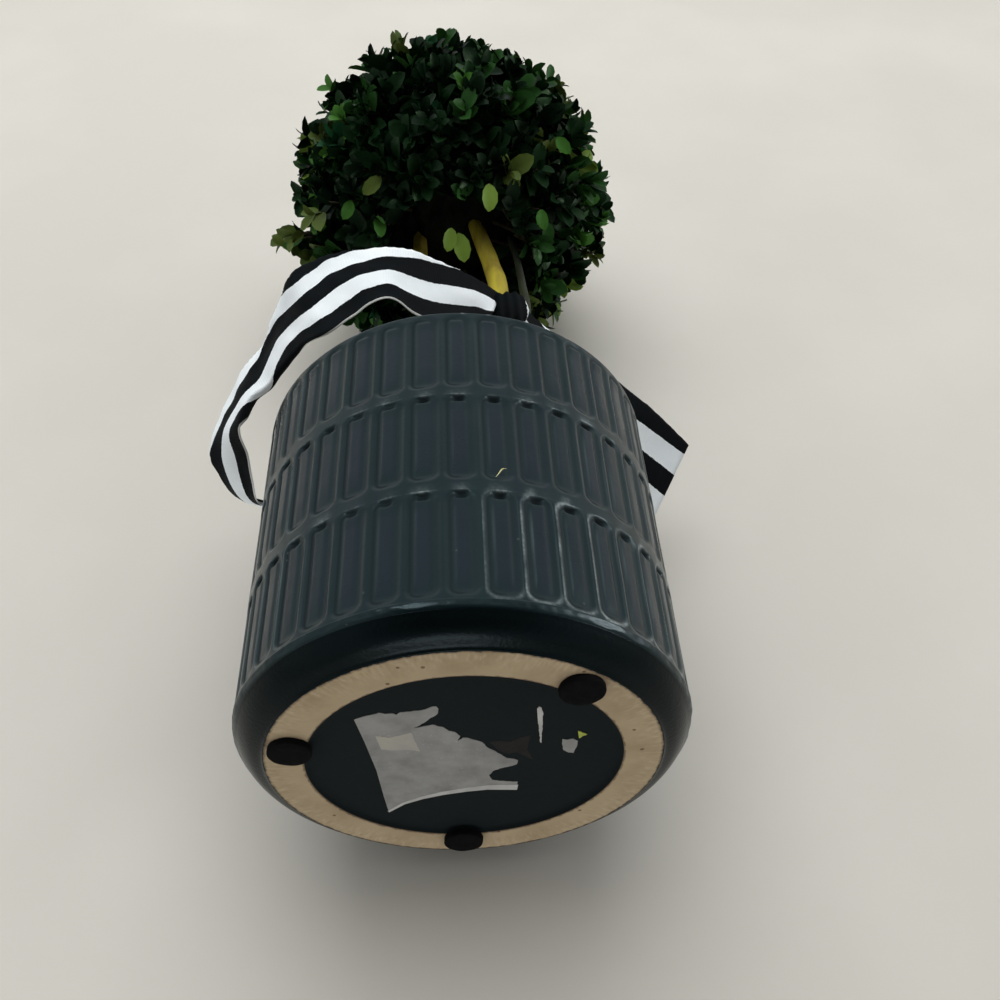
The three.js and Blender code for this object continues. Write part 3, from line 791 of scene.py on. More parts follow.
stemShape = {
    "groundZ": 107.3,
    "flare": 1.25,
    "flareHeight": 9.0,
    "ridges": 0.05,  # as shares of the limb's radius, like the knobs
    "knobs": 0.22,
    "rings": 150,
    "sides": 26,
    "limbs": {
        "stem_right": {
            "radius": 4.6, "tip": 3.2, "seed": 20, "bark": "ochreBark", "slot": "stem_bark",
            "route": ((6.5, -4.7, 102), (10, -7, 140), (15, -9, 173), (18.4, -10, 195), (18, -9, 211),
                      (14.2, -9, 234), (10.5, -8, 254))},
        "stem_left": {
            "radius": 4.1, "tip": 3.0, "seed": 23, "bark": "ochreBark", "slot": "stem_bark",
            "route": ((-6.5, 4.2, 102), (-3, 3, 140), (1.2, 2.2, 173), (-5, 0, 200), (-12.8, -3, 231),
                      (-13.4, -3, 254))},
        "stem_thin": {
            "radius": 2.0, "tip": 1.2, "seed": 26, "bark": "oliveBark", "slot": "thin_bark",
            "route": ((13.4, 5.5, 102), (18, 2, 140), (24, -2.5, 173), (29, -7, 192), (28.3, -8, 209),
                      (27, -8, 228), (25, -6, 246))},
    },
    "barks": {
        "ochreBark": ((0.46, 0.385, 0.030, 1), (0.21, 0.145, 0.014, 1)),
        "oliveBark": ((0.016, 0.026, 0.008, 1), (0.008, 0.012, 0.005, 1)),
    },
    "scar": (0.09, 0.055, 0.012, 1),
}


def makeStem(name, limb):
    shape = stemShape
    shares = np.linspace(0, 1, shape["rings"])
    route = threadThrough(limb["route"], shares)
    taper = limb["radius"] + (limb["tip"] - limb["radius"]) * shares**2
    near = np.clip(1 - (route[:, 2] - shape["groundZ"]) / shape["flareHeight"], 0, 1)
    taper = (taper * (1 + (shape["flare"] - 1) * near))[:, None]
    ring = roundAxis(1.0, fullTurn(shape["sides"]), 0.0)
    rings = route[:, None] + ring * taper[..., None]
    ridges = wobble(rings * [1, 1, 0.12], limb["radius"] * 0.9, limb["seed"]) * shape["ridges"]
    knobs = np.clip(wobble(rings * [1, 1, 0.8], 11, limb["seed"] + 1) - 1.0, 0, 1) * shape["knobs"]
    rings = route[:, None] + ring * (taper * (1 + (ridges + knobs - shape["ridges"])))[..., None]
    hubs = [route[0], route[-1] + [0, 0, 0.8]]
    return closedMesh(name.replace("_", "") + "Bark", rings, hubs, {"scar": knobs * 6})


def barkMaterial(name, first, second):
    material, tree, shader = newMaterial(name, 0.72, Specular_IOR_Level=0.35)
    streaks = useGroup(tree, upwardStreaks, Scale=420.0, Stretch=0.16).outputs["Mask"]
    patches = useGroup(tree, mottle, First=first, Second=second, Scale=85.0, Low=0.5, High=0.72)
    tone = paintOver(tree, patches.outputs["Colour"], (streaks, 0.45, second),
                     (pointMask(tree, "scar"), 0.8, stemShape["scar"]))
    finishSurface(tree, shader, tone)
    bumpSurface(tree, shader, streaks, 0.0004, 0.55)
    return material


barks = {name: barkMaterial(name, *tones) for name, tones in stemShape["barks"].items()}
for stemName, limb in stemShape["limbs"].items():
    addPiece(makeStem(stemName, limb), barks[limb["bark"]], [stemName])
print("stems made")


# Leaf ball: shoots with paired leaves grown outwards by one seeded rule

ballShape = {
    "centre": (0.0, 0.0, 284.0),
    "heart": 42.0,  # radius of the dark middle, which is painted shade
    "heartLumps": ((9, 31, 1.6), (4, 32, 0.9)),  # size, seed and height
    "heartTones": ((0.0015, 0.003, 0.0015, 1), (0.006, 0.008, 0.003, 1)),
    "reach": 76.0,
    "shoots": 320,
    "rootAt": 39.0,
    "tipAt": 64.8,
    "tipWaves": 2.4,  # how far the clipped outline wanders, in waves of tipWaveSize
    "tipWaveSize": 30.0,
    "tipScatter": 2.4,
    "spread": 0.24,
    "pairs": 7,
    "pairGap": 3.1,
    "sideShoots": 2,
    "sideLength": (8, 13),
    "sidePairs": 3,
    "bow": 0.05,  # of a shoot, as a share of its length
    "leafFrom": 8.0,
    "leafTo": 12.5,
    "leafWidth": 0.56,  # share of its length
    "firstPair": 0.74,  # size of the pair at a shoot's tip
    # degrees by which the first pair opens from the shoot, what each pair further back adds, and the scatter
    "opening": (24, 10, 12),
    "leafTwist": 1.1,  # how far the leaves turn their faces off the shoot's way
    "leafSheen": (0.35, 0.8, 0.4, 1),
    "leafRoughness": (0.34, 0.55),
    "smaller": 0.72,
    "limbRoom": 1.0,
    "hollowAt": (0.0, -12.0, 222.0),
    "hollowHalf": (27.0, 24.0, 28.0),
    "shadeWay": (0.05, -0.45, -0.89),  # towards the middle of the shaded underside, where leaves are darkest
    # how light the leaves are, what the right side adds as painted light and what the middle of the underside
    # takes off as painted shade
    "lightness": (0.45, 0.35, 1.6),
    "strayWay": (-0.955, 0.03, -0.30),
    "strayBends": (0.0, 0.1, -0.12, 0.2),
    "strayReach": 84.5,
    "twigRadius": 0.75,
    "twigTones": ((0.030, 0.024, 0.008, 1), (0.012, 0.010, 0.004, 1)),
    "seed": 41,
}

# tint, its share of the shoots, and how much commoner it is where the ball is lighter
leafTints = {
    "leavesDeep": ((0.0022, 0.0070, 0.0030, 1), 0.28, -1.0),
    "leavesDark": ((0.0050, 0.0190, 0.0055, 1), 0.27, -0.3),
    "leavesMid": ((0.016, 0.056, 0.011, 1), 0.22, 0.7),
    "leavesFresh": ((0.045, 0.135, 0.020, 1), 0.08, 1.5),
    "leavesLime": ((0.135, 0.215, 0.032, 1), 0.025, 2.0),
    "leavesOlive": ((0.075, 0.105, 0.022, 1), 0.07, 1.2),
    "leavesBluish": ((0.009, 0.052, 0.020, 1), 0.04, 0.4),
}

# single light leaves that show among the dark ones: way from the ball's centre to the leaf's root, its
# distance, the way that the leaf points, its length and its tint
lightLeaves = (
    ((0.24, -0.60, -0.76), 67, (0.00, 0.40, -0.92), 11.5, "leavesLime"),
    ((0.01, -0.40, -0.92), 64, (-0.15, 0.40, -0.90), 10, "leavesLime"),
    ((0.05, -0.37, -0.93), 64, (0.20, 0.50, -0.85), 12, "leavesLime"),
    ((-0.95, 0.00, -0.30), 73, (-0.96, 0.16, -0.25), 11, "leavesOlive"),
    ((-0.93, -0.04, -0.30), 70, (-0.96, 0.20, -0.10), 10, "leavesOlive"),
    ((-0.91, -0.02, -0.38), 70, (-0.90, 0.10, -0.40), 9, "leavesMid"),
    ((-0.60, -0.45, -0.66), 66, (-0.30, 0.30, -0.90), 9, "leavesFresh"),
    ((-0.44, -0.42, -0.79), 66, (0.20, 0.40, -0.90), 9, "leavesFresh"),
    ((-0.40, -0.62, -0.68), 67, (-0.60, 0.30, -0.60), 10, "leavesOlive"),
    ((0.55, -0.40, -0.73), 67, (0.10, 0.40, -0.90), 9, "leavesFresh"),
    ((0.66, -0.66, -0.36), 68, (0.50, 0.30, -0.80), 9, "leavesFresh"),
    ((0.62, -0.30, -0.73), 66, (-0.10, 0.50, -0.80), 9, "leavesMid"),
)

lightFacing = (0.0, -0.74, -0.67)  # the way that these turn their faces

# short light shoots near the stems and at the sides: way from the ball's centre, distance of the tip, tint
hangingShoots = (
    ((-0.80, -0.28, -0.53), 70, "leavesOlive"),
    ((-0.88, -0.10, -0.45), 74, "leavesOlive"),
    ((0.78, -0.13, -0.61), 69, "leavesFresh"),
    ((0.57, 0.11, -0.82), 68, "leavesMid"),
)

# one leaf lying along +X: places along it, half widths and how far the blade droops there
leafStations = ((0.0, 0.0, 0.0), (0.14, 0.27, 0.02), (0.38, 0.48, 0.02), (0.68, 0.50, -0.05),
                (0.91, 0.30, -0.16), (1.0, 0.0, -0.22))


def leafTemplate():
    points = [(t, 0.0, lift - 0.05 * math.sin(math.pi * t)) for t, _, lift in leafStations]
    for side in (1, -1):
        points += [(t, side * half, lift + 0.04) for t, half, lift in leafStations[1:-1]]
    last = len(leafStations) - 1
    faces = []
    for side, first in ((1, last + 1), (-1, last + 5)):
        strip = [(0, first, 1)] + [(k, first + k - 1, first + k) for k in range(1, last - 1)]
        strip += [(k, first + k, k + 1) for k in range(1, last - 1)] + [(last - 1, first + last - 2, last)]
        faces += [f if side < 0 else f[::-1] for f in strip]
    return np.array(points), np.array(faces)


leafPoints, leafFaces = leafTemplate()


# a tapering twig of a few straight lengths
def twigShape(route, radii, sides=4):
    route = np.asarray(route, float)
    along = unit(route[-1] - route[0])
    u = unit(np.cross(along, [0.3, 0.5, 0.81]))
    v = np.cross(along, u)
    turn = fullTurn(sides)[:, None]
    points = route[:, None, :] + (np.cos(turn) * u + np.sin(turn) * v) * np.asarray(radii)[:, None, None]
    return points.reshape(-1, 3), gridFaces(len(route), sides)


class Growth:
    def __init__(self):
        self.dice = random.Random(ballShape["seed"])
        self.centre = np.array(ballShape["centre"])
        self.leaves = {name: [] for name in leafTints}
        self.twigs = []

    def sideways(self, way):
        guess = np.array([self.dice.gauss(0, 1) for _ in range(3)])
        return unit(np.cross(guess, way))

    # a shoot from one place to another, with leaves in crossed pairs towards its tip
    def shoot(self, start, tip, pairs, tint, reach):
        dice, shape = self.dice, ballShape
        length = np.linalg.norm(tip - start)
        way = (tip - start) / length
        bow = self.sideways(way) * length * shape["bow"]
        self.twigs.append((start, (start + tip) / 2 + bow, tip, shape["twigRadius"] * (0.6 + length / 40)))
        across = self.sideways(way)
        for k in range(pairs):
            back = k * shape["pairGap"] * dice.uniform(0.85, 1.15)
            if back > length * 0.85:
                break
            if k == 3:
                tint = "leavesDark" if dice.random() < 0.4 else "leavesDeep"
            root = tip - way * back + bow * 0.5
            opening, more, scatter = shape["opening"]
            opening = math.radians(opening + more * k + dice.uniform(-scatter, scatter))
            for side in (1, -1):
                direction = way * math.cos(opening) + side * across * math.sin(opening)
                direction += self.sideways(way) * dice.uniform(0, 0.4)
                size = dice.uniform(shape["leafFrom"], shape["leafTo"])
                size *= shape["firstPair"] if k == 0 else 1
                facing = way + self.sideways(way) * dice.uniform(0, shape["leafTwist"])
                self.leaves[tint].append((root, direction, facing, size, dice.uniform(0.86, 1.12), reach))
            across = np.cross(way, across)

    # painted light and shade: leaves on the right come out lighter, those on the underside towards shadeWay
    # darker
    def chooseTint(self, way, deeper=0.0):
        shade = max(0.0, float(way @ np.array(ballShape["shadeWay"])))
        middle, right, under = ballShape["lightness"]
        lean = middle + right * way[0] - under * shade**2 - deeper
        weights = [max(share * (1 + shift * lean), 0.003) for _, share, shift in leafTints.values()]
        return self.dice.choices(list(leafTints), weights)[0]

    def grow(self):
        shape, dice = ballShape, self.dice
        height = 1 - 2 * (np.arange(shape["shoots"]) + 0.5) / shape["shoots"]
        goldenTurn = np.arange(shape["shoots"]) * math.pi * (3 - math.sqrt(5))
        ways = roundAxis(np.sqrt(1 - height**2), goldenTurn, height)
        waves = wobble(ways * shape["tipAt"], shape["tipWaveSize"], 37)
        for way, reach in zip(ways, shape["tipAt"] + shape["tipWaves"] * waves):
            lean = unit(way + self.sideways(way) * shape["spread"] * dice.random())
            start = self.centre + way * shape["rootAt"]
            reach = min(reach + dice.uniform(-1, 1) * shape["tipScatter"], shape["reach"] - 5)
            tip = self.centre + lean * reach
            self.shoot(start, tip, shape["pairs"], self.chooseTint(way), shape["reach"])
            for _ in range(shape["sideShoots"]):
                fork = start + (tip - start) * dice.uniform(0.3, 0.65)
                aside = unit(way + self.sideways(way) * dice.uniform(0.6, 1.1))
                end = fork + aside * dice.uniform(*shape["sideLength"])
                self.shoot(fork, end, shape["sidePairs"], self.chooseTint(way, 0.5), shape["reach"])
        for way, distance, tint in hangingShoots:
            way = unit(np.array(way))
            tip = self.centre + way * distance
            self.shoot(tip - way * 16, tip, 2, tint, shape["strayReach"])
        for way, distance, points, length, tint in lightLeaves:
            root = self.centre + unit(np.array(way)) * distance
            facing = np.array(lightFacing) + self.sideways(np.array(lightFacing)) * 0.4
            self.leaves[tint].append((root, np.array(points), facing, length, 1.0, shape["strayReach"]))
            self.twigs.append((root * 0.8 + self.centre * 0.2, root * 0.9 + self.centre * 0.1, root, 0.5))
        stray = unit(np.array(shape["strayWay"]))
        for k, bend in enumerate(shape["strayBends"]):
            way = unit(stray + self.sideways(stray) * bend)
            tip = self.centre + way * (shape["strayReach"] - 8 - 4.5 * k)
            self.shoot(self.centre + stray * 54, tip, 4, "leavesOlive", shape["strayReach"])


# true for points outside the hollow where the stems come into the ball
def clearOfHollow(points):
    return (((points - ballShape["hollowAt"]) / np.array(ballShape["hollowHalf"])) ** 2).sum(-1) > 1


# every leaf of one tint as points, kept only where it stays in reach and clear of the stems
def bladesOf(leaves, limbPlaces, limbRooms):
    shape = ballShape
    root, direction, facing, size, width, reach = (np.array(column) for column in zip(*leaves))
    direction = unit(direction)
    side = unit(np.cross(facing, direction))
    up = np.cross(direction, side)
    kept = []
    waiting = np.arange(len(root))
    for shrink in (1.0, shape["smaller"]):
        s = (size[waiting] * shrink)[:, None, None]
        w = (shape["leafWidth"] * width[waiting])[:, None, None]
        blade = root[waiting][:, None] + s * (
            leafPoints[None, :, :1] * direction[waiting][:, None]
            + leafPoints[None, :, 1:2] * w * side[waiting][:, None]
            + leafPoints[None, :, 2:] * up[waiting][:, None])
        inReach = np.linalg.norm(blade - np.array(shape["centre"]), axis=2).max(1) < reach[waiting]
        outside = clearOfHollow(blade).all(1) | (reach[waiting] > shape["reach"])
        gaps = np.linalg.norm(blade[:, ::2, None] - limbPlaces, axis=3) - limbRooms
        kept.append(blade[inReach & outside & (gaps.min((1, 2)) > 0)])
        waiting = waiting[~inReach & outside]
    return np.concatenate(kept)


def leafMaterial(name, tint):
    material, tree, shader = newMaterial(
        name, 0.5, Base_Color=tint, Specular_IOR_Level=0.16, Specular_Tint=ballShape["leafSheen"])
    finishSurface(tree, shader, relief=(520.0, 0.0003, 0.35))
    gloss = useGroup(tree, mottle, Scale=240.0).outputs["Mask"]
    roughness = mapRange(tree, gloss, 0.0, 1.0, *ballShape["leafRoughness"])
    tree.links.new(roughness, shader.inputs["Roughness"])
    return material


# the imported middle, a lumpy dark core that hardly shows, painted as the shade deep among the leaves
def makeHeart(rows=60, columns=96):
    up = np.linspace(0.02, math.pi - 0.02, rows)[:, None]
    sphere = roundAxis(np.sin(up), fullTurn(columns), -np.cos(up))
    lumps = sum(height * wobble(sphere * 47, size, seed) for size, seed, height in ballShape["heartLumps"])
    radius = ballShape["heart"] + lumps
    radius *= 1 - 0.16 * smoothStep((-sphere[..., 2] - 0.55) / 0.3)
    rings = sphere * radius[..., None] + np.array(ballShape["centre"])
    return closedMesh("ballHeart", rings, [rings[0].mean(0), rings[-1].mean(0)])


def makeBall():
    limbs = stemShape["limbs"].values()
    limbPlaces = np.vstack([threadThrough(limb["route"], np.linspace(0.5, 1, 30)) for limb in limbs])
    limbRooms = np.repeat([limb["radius"] + ballShape["limbRoom"] for limb in limbs], 30)
    growth = Growth()
    growth.grow()
    total = 0
    for name, (tint, _, _) in leafTints.items():
        blades = bladesOf(growth.leaves[name], limbPlaces, limbRooms)
        total += len(blades)
        faces = (leafFaces[None] + (np.arange(len(blades)) * len(leafPoints))[:, None, None]).reshape(-1, 3)
        addPiece(makeMesh(name, blades.reshape(-1, 3), [faces]), leafMaterial(name, tint))
    twigs = []
    for *route, radius in growth.twigs:
        route = np.array(route)
        gaps = np.linalg.norm(route[:, None] - limbPlaces[None], axis=2) - limbRooms
        if gaps.min() > 0 and clearOfHollow(route).all():
            twigs.append(twigShape(route, [radius, radius * 0.8, radius * 0.45]))
    points, faces = gather(twigs)
    twigBark = cloudyMaterial("twigBark", ballShape["twigTones"], scale=300.0, roughness=0.8,
                              Specular_IOR_Level=0.3)
    addPiece(makeMesh("ballTwigs", points, [faces]), twigBark)
    packedLeaf = cloudyMaterial("packedLeaf", ballShape["heartTones"], scale=150.0, roughness=0.9,
                                relief=(420.0, 0.0015, 0.8), Specular_IOR_Level=0.2)
    addPiece(makeHeart(), packedLeaf, ["leaf_ball"])
    print("leaf ball made:", total, "leaves,", len(twigs), "twigs")


makeBall()


# Ribbon: a striped band tied round the stems, with two tails

ribbonShape = {
    "width": 38.0,
    "thickness": 0.36,
    "rowsPerStation": 9,
    "openTowards": (3.0, -263.9, -140.1),  # what the tails' open faces look at; their edges roll away from it
    "curl": 3.0,  # radius that an edge rolls round
    "curlTurn": 2.4,  # how far it rolls, in radians
    "ripples": ((0.45, 26), (0.2, 11)),  # height and size of the waves in the tails
    "pleats": 0.9,
    "bandFolds": 0.5,
    "columns": 44,
    # from the knot outwards: a point on the open part's upper edge, the direction across, the share of the
    # width that lies open, and the shares rolled out of sight behind the upper edge and behind the lower one
    "left": (((18, -21, 187), (-3, -3, -16), 0.43, 0.42, 0.15),
             ((9, -31, 184), (-1, 3, -22), 0.58, 0.42, 0.03),
             ((-9.6, -46.9, 175.2), (0, 4, -30), 0.8, 0.34, 0),
             ((-22.4, -50.6, 175.9), (2, -1, -30), 0.8, 0.23, 0),
             ((-33.6, -51.9, 172.7), (7, 0, -30), 0.81, 0.18, 0),
             ((-44.5, -53.2, 167.7), (12, 4, -29), 0.84, 0.12, 0),
             ((-54.9, -49.3, 162.7), (14, 0, -32), 0.93, 0.05, 0.03),
             ((-60.4, -38.9, 159.9), (12, -4, -30), 0.76, 0.25, 0.06),
             ((-66.7, -26.9, 155.4), (12, -9, -27), 0.66, 0.39, 0.13),
             ((-72.3, -20.2, 153.2), (8, -6, -22), 0.62, 0.3, 0.26),
             ((-78.4, -13.2, 150.2), (11, -13, -26), 0.68, 0.24, 0.24),
             ((-87.4, -0.2, 139.3), (15, -18, -19), 0.8, 0.28, 0),
             ((-88.6, 5, 131), (17, -12, -13), 0.64, 0.4, 0),
             ((-86, 12, 126), (16, -12, -13), 0.6, 0.43, 0),
             ((-81, 19.5, 123.7), (12, -16, -17), 0.7, 0.42, 0),
             ((-73.5, 27.5, 125.2), (7.5, -13, -12.5), 0.52, 0.5, 0)),
    "right": (((24, -20, 186), (1, -1, -14), 0.37, 0.42, 0.15),
              ((33, -12, 182), (-2, 4, -26), 0.7, 0.42, 0),
              ((47, -2, 174), (-9, 9, -31), 0.88, 0.16, 0),
              ((62.6, 4.7, 164.1), (-16, 17, -30), 1, 0, 0.04),
              ((75.9, 10.7, 152.4), (-18, 20, -25), 1, 0.04, 0.04),
              ((88, 17.7, 141.1), (-18, 22, -26), 1, 0.11, 0.03)),
    "knotAt": (21.0, -18.5, 180.0),
    "knotHalf": (7.5, 5.0, 8.5),
    "knotShows": (14.3, 23.3),  # the middle black stripe and a little white, as mm across the ribbon
    # what the band goes round at its height: places and radii of the three stems, and the knot's back
    "bandRound": ((15.0, -9.0, 5.4), (1.2, 2.2, 5.1), (24.0, -2.5, 3.0), (21.0, -17.0, 1.5)),
    "bandEase": 1.4,  # how softly it turns from one to the next
    "bandFrom": 166.5,
    "bandHeight": 14.0,
}

ribbonFinish = {
    "white": (0.80, 0.85, 0.87, 1),
    "whiteShade": (0.74, 0.79, 0.81, 1),
    "black": (0.0022, 0.0038, 0.0048, 1),
    "blackShade": (0.0036, 0.0055, 0.0068, 1),
    "selvedge": (0.46, 0.47, 0.45, 1),
    "stripe": 7.6,
    "rib": 0.9,
    "selvedgeWidth": 0.9,
}


# a closed thin sheet over a grid of points, carrying how far along and across the ribbon each point is
def sheetMesh(name, grid, across, along):
    rows, columns = grid.shape[:2]
    normal = np.cross(np.gradient(grid, axis=0), np.gradient(grid, axis=1))
    normal /= np.maximum(np.linalg.norm(normal, axis=2), 1e-9)[:, :, None]
    half = np.full((rows, columns, 1), ribbonShape["thickness"] / 2)
    half[:, [0, -1]] = half[[0, -1]] = half[0, 0] * 0.55  # thinner along its edges
    faces = gridFaces(rows, columns, wrap=False)
    count = rows * columns
    index = np.arange(count).reshape(rows, columns)
    rim = np.concatenate([index[0], index[1:, -1], index[-1, -2::-1], index[-2:0:-1, 0]])
    nextRim = np.roll(rim, -1)
    sides = np.stack([rim, nextRim, nextRim + count, rim + count], -1)
    points = np.vstack([(grid + normal * half).reshape(-1, 3), (grid - normal * half).reshape(-1, 3)])
    values = {title: np.tile(np.broadcast_to(places, (rows, columns)).ravel(), 2)
              for title, places in (("across", across), ("along", along))}
    return makeMesh(name, points, [faces[:, ::-1], faces + count, sides], values)


def makeTail(name, stations, seed, corner):
    shape = ribbonShape
    count = (len(stations) - 1) * shape["rowsPerStation"] + 1
    shares = np.linspace(0, 1, count)
    edge, down, opened, rolledAbove, rolledBelow = (np.array(column, float) for column in zip(*stations))
    down = unit(down) * (opened * shape["width"])[:, None]
    upper, lower = threadThrough(edge, shares), threadThrough(edge + down, shares)
    rolls = threadThrough(np.stack([rolledAbove, rolledBelow, np.arange(len(stations))], -1), shares)
    behind, under = np.clip(rolls[:, 0], 0, 0.6), np.clip(rolls[:, 1], 0, 0.3)
    v = np.linspace(0, 1, shape["columns"])
    middle = (upper + lower) / 2
    along, over = unit(np.gradient(upper + lower, axis=0)), unit(lower - upper)
    away = np.cross(over, along)
    away *= np.sign((away * (middle - np.array(shape["openTowards"]))).sum(1))[:, None]
    grid = np.zeros((count, len(v), 3))
    for j, share in enumerate(v):
        place = upper + (lower - upper) * np.clip((share - behind) / (1 - behind - under), 0, 1)[:, None]
        for rolled, way in ((behind - share, 1), (share - 1 + under, -1)):
            rolled = np.clip(rolled, 0, 1)[:, None] * shape["width"]
            curl = np.minimum(rolled / shape["curl"], shape["curlTurn"])
            place = place + shape["curl"] * (np.sin(curl) * away + (1 - np.cos(curl)) * over * 0.9 * way)
            place = place + np.maximum(rolled - shape["curl"] * shape["curlTurn"], 0) * over * 0.7 * way
        grid[:, j] = place
    pleat = np.sin(v * math.pi * 5) * np.clip(behind * 2.6 - 0.75, 0, 1)[:, None] * shape["pleats"]
    ripple = sum(height * wobble(grid, size, seed + k) for k, (height, size) in enumerate(shape["ripples"]))
    grid += away[:, None] * (pleat + ripple)[:, :, None]
    distance = np.concatenate([[0], np.cumsum(np.linalg.norm(np.diff(middle, axis=0), axis=1))])
    nearEdge = np.minimum(v, 1 - v) * shape["width"]
    grid[-1] -= along[-1] * np.clip(corner - nearEdge, 0, corner)[:, None] ** 2 / corner * 0.6
    return sheetMesh(name, grid, v * shape["width"], distance[:, None])


def ribbonMaterial():
    material, tree, shader = newMaterial("stripedRibbon", 0.7, Specular_IOR_Level=0.05)
    finish = ribbonFinish
    across, along = pointMask(tree, "across"), pointMask(tree, "along")
    stray = mapRange(tree, noiseAt(tree, objectPlace(tree), 900.0), 0.3, 0.7, -0.12, 0.12)
    shifted = doMath(tree, "MAXIMUM", doMath(tree, "ADD", across, stray), 0.01)
    band = doMath(tree, "FRACT", doMath(tree, "DIVIDE", shifted, finish["stripe"] * 2))
    pale, dark = (useGroup(tree, mottle, First=finish[tint], Second=finish[tint + "Shade"], Scale=60.0)
                  for tint in ("white", "black"))
    tone = blendColours(tree, doMath(tree, "GREATER_THAN", band, 0.5), dark.outputs["Colour"],
                        pale.outputs["Colour"])
    edge = doMath(tree, "GREATER_THAN", across, ribbonShape["width"] - finish["selvedgeWidth"])
    finishSurface(tree, shader, blendColours(tree, edge, tone, finish["selvedge"]))
    weave = doMath(tree, "SINE", multiply(tree, along, 2 * math.pi / finish["rib"]))
    bumpSurface(tree, shader, weave, 0.0001, 0.25)
    return material


# a short gathered length of ribbon over the crossing of the tails, in front of the stems
def makeKnot(rows=72, columns=48):
    shape = ribbonShape
    turn = fullTurn(rows)[:, None]
    v = np.linspace(-1, 1, columns)[None]
    pucker = np.sqrt(np.clip(1 - np.abs(v) ** 3.2, 0, 1)) * 0.86 + 0.14
    folds = 1 + 0.07 * np.cos(v * math.pi * 4.5 + 0.8 * np.sin(turn)) + 0.03 * np.sin(turn * 3 + v * 2)
    hx, hy, hz = shape["knotHalf"]
    x = v * hx * (1 + 0.05 * np.sin(turn * 2))
    y, z = np.cos(turn) * hy * pucker * folds, np.sin(turn) * hz * pucker * folds
    points = (np.stack([x, y, z], -1) + np.array(shape["knotAt"])).reshape(-1, 3)
    low, high = shape["knotShows"]
    across = (low + (v + 1) * (high - low) / 2 + 0 * turn).ravel()
    along = (turn * 7 + 0 * v).ravel()
    index = np.arange(rows * columns).reshape(rows, columns)
    wrapped = np.vstack([index, index[:1]])
    corners = [wrapped[:-1, :-1], wrapped[:-1, 1:], wrapped[1:, 1:], wrapped[1:, :-1]]
    faces = np.stack(corners, -1).reshape(-1, 4)
    ends = [index[:, 0], index[::-1, -1]]
    hubs = [points[e].mean(0) + [way * 0.3, 0, 0] for e, way in zip(ends, (-1, 1))]
    fans = [np.stack([np.full(rows, len(points) + k), e, np.roll(e, -1)], -1) for k, e in enumerate(ends)]
    values = {"across": np.append(across, [low, high]), "along": np.append(along, [0, 0])}
    return makeMesh("ribbonKnot", np.vstack([points, hubs]), [faces[:, ::-1], np.vstack(fans)], values)


# the gathered band, laid round the stems and behind the knot
def makeBand():
    shape = ribbonShape
    turn = np.linspace(0, 2 * math.pi, 181)[:, None]
    v = np.linspace(0, 1, 40)[None]
    way = np.hstack([np.cos(turn), np.sin(turn)])
    rounds = np.array(shape["bandRound"])
    reach = way @ rounds[:, :2].T + rounds[:, 2]
    pull = np.exp((reach - reach.max(1, keepdims=True)) / shape["bandEase"])
    pull /= pull.sum(1, keepdims=True)
    line = pull @ rounds[:, :2] + (pull @ rounds[:, 2:]) * way
    fold = shape["bandFolds"] * np.sin(v * math.pi * 7 + 0.6 * np.sin(turn * 2))
    x, y = line[:, :1] + way[:, :1] * fold, line[:, 1:] + way[:, 1:] * fold
    gathered = 1 - 0.12 * bell(turn - 5.2, 0.5)
    z = shape["bandFrom"] + shape["bandHeight"] * (0.5 + (v - 0.5) * gathered) + 0.5 * np.sin(turn * 3 + 1)
    return sheetMesh("ribbonBand", np.stack([x, y, z], -1), v * shape["width"], turn * 15)


stripedRibbon = ribbonMaterial()
addPiece(makeTail("ribbonLeftTail", ribbonShape["left"], 61, 1.0), stripedRibbon,
         ["ribbon_left_arch", "ribbon_left_fall"])
addPiece(makeTail("ribbonRightTail", ribbonShape["right"], 71, 2.5), stripedRibbon,
         ["ribbon_right_tail"])
addPiece(makeKnot(), stripedRibbon, ["ribbon_knot"])
addPiece(makeBand(), stripedRibbon)
print("ribbon made")


# Filling: dried moss over foam, domed a little round the stems

mossShape = {
    "radius": 58.1,
    "bottomZ": 96.0,
    "topZ": 106.6,
    "lumpiness": 1.5,
    "lumps": ((0.6, 17, 81), (0.35, 7, 82), (0.2, 3, 83)),  # height, size and seed
    "footRise": 1.4,  # how far the moss rises round each stem
    "tufts": 5200,
    "bladeLength": 4.2,
    "bladeHalf": (0.22, 0.16),  # half width at its foot and at its bend
    "seed": 87,
    # tint and share of the tufts
    "colours": {
        "mossOlive": ((0.115, 0.115, 0.030, 1), 0.5),
        "mossGreen": ((0.050, 0.085, 0.022, 1), 0.28),
        "mossStraw": ((0.24, 0.19, 0.07, 1), 0.22),
    },
}


def mossHeight(x, y):
    flat = np.stack([x, y, 0 * x], -1)
    lumps = sum(height * wobble(flat, size, seed) for height, size, seed in mossShape["lumps"])
    fall = 4.5 * smoothStep((np.hypot(x, y) - 48) / 11)
    feet = [limb["route"][0] for limb in stemShape["limbs"].values()]
    rise = sum(mossShape["footRise"] * bell(np.hypot(x - foot[0], y - foot[1]), 7) for foot in feet)
    return mossShape["topZ"] - 1.2 + mossShape["lumpiness"] * lumps - fall + rise


def makeMoss():
    shape = mossShape
    radii = np.concatenate([np.linspace(1.5, 50, 34), np.linspace(51.5, shape["radius"], 6)])
    rings = roundAxis(radii[:, None], fullTurn(150), 0.0)
    rings[..., 2] = np.minimum(mossHeight(rings[..., 0], rings[..., 1]), shape["topZ"] + 1.5)
    rim = rings[-1:] * [1, 1, 0] + [0, 0, shape["bottomZ"]]
    hubs = [(0, 0, rings[0, :, 2].mean()), (0, 0, shape["bottomZ"])]
    return closedMesh("mossMat", np.vstack([rings, rim]), hubs, inward=True)


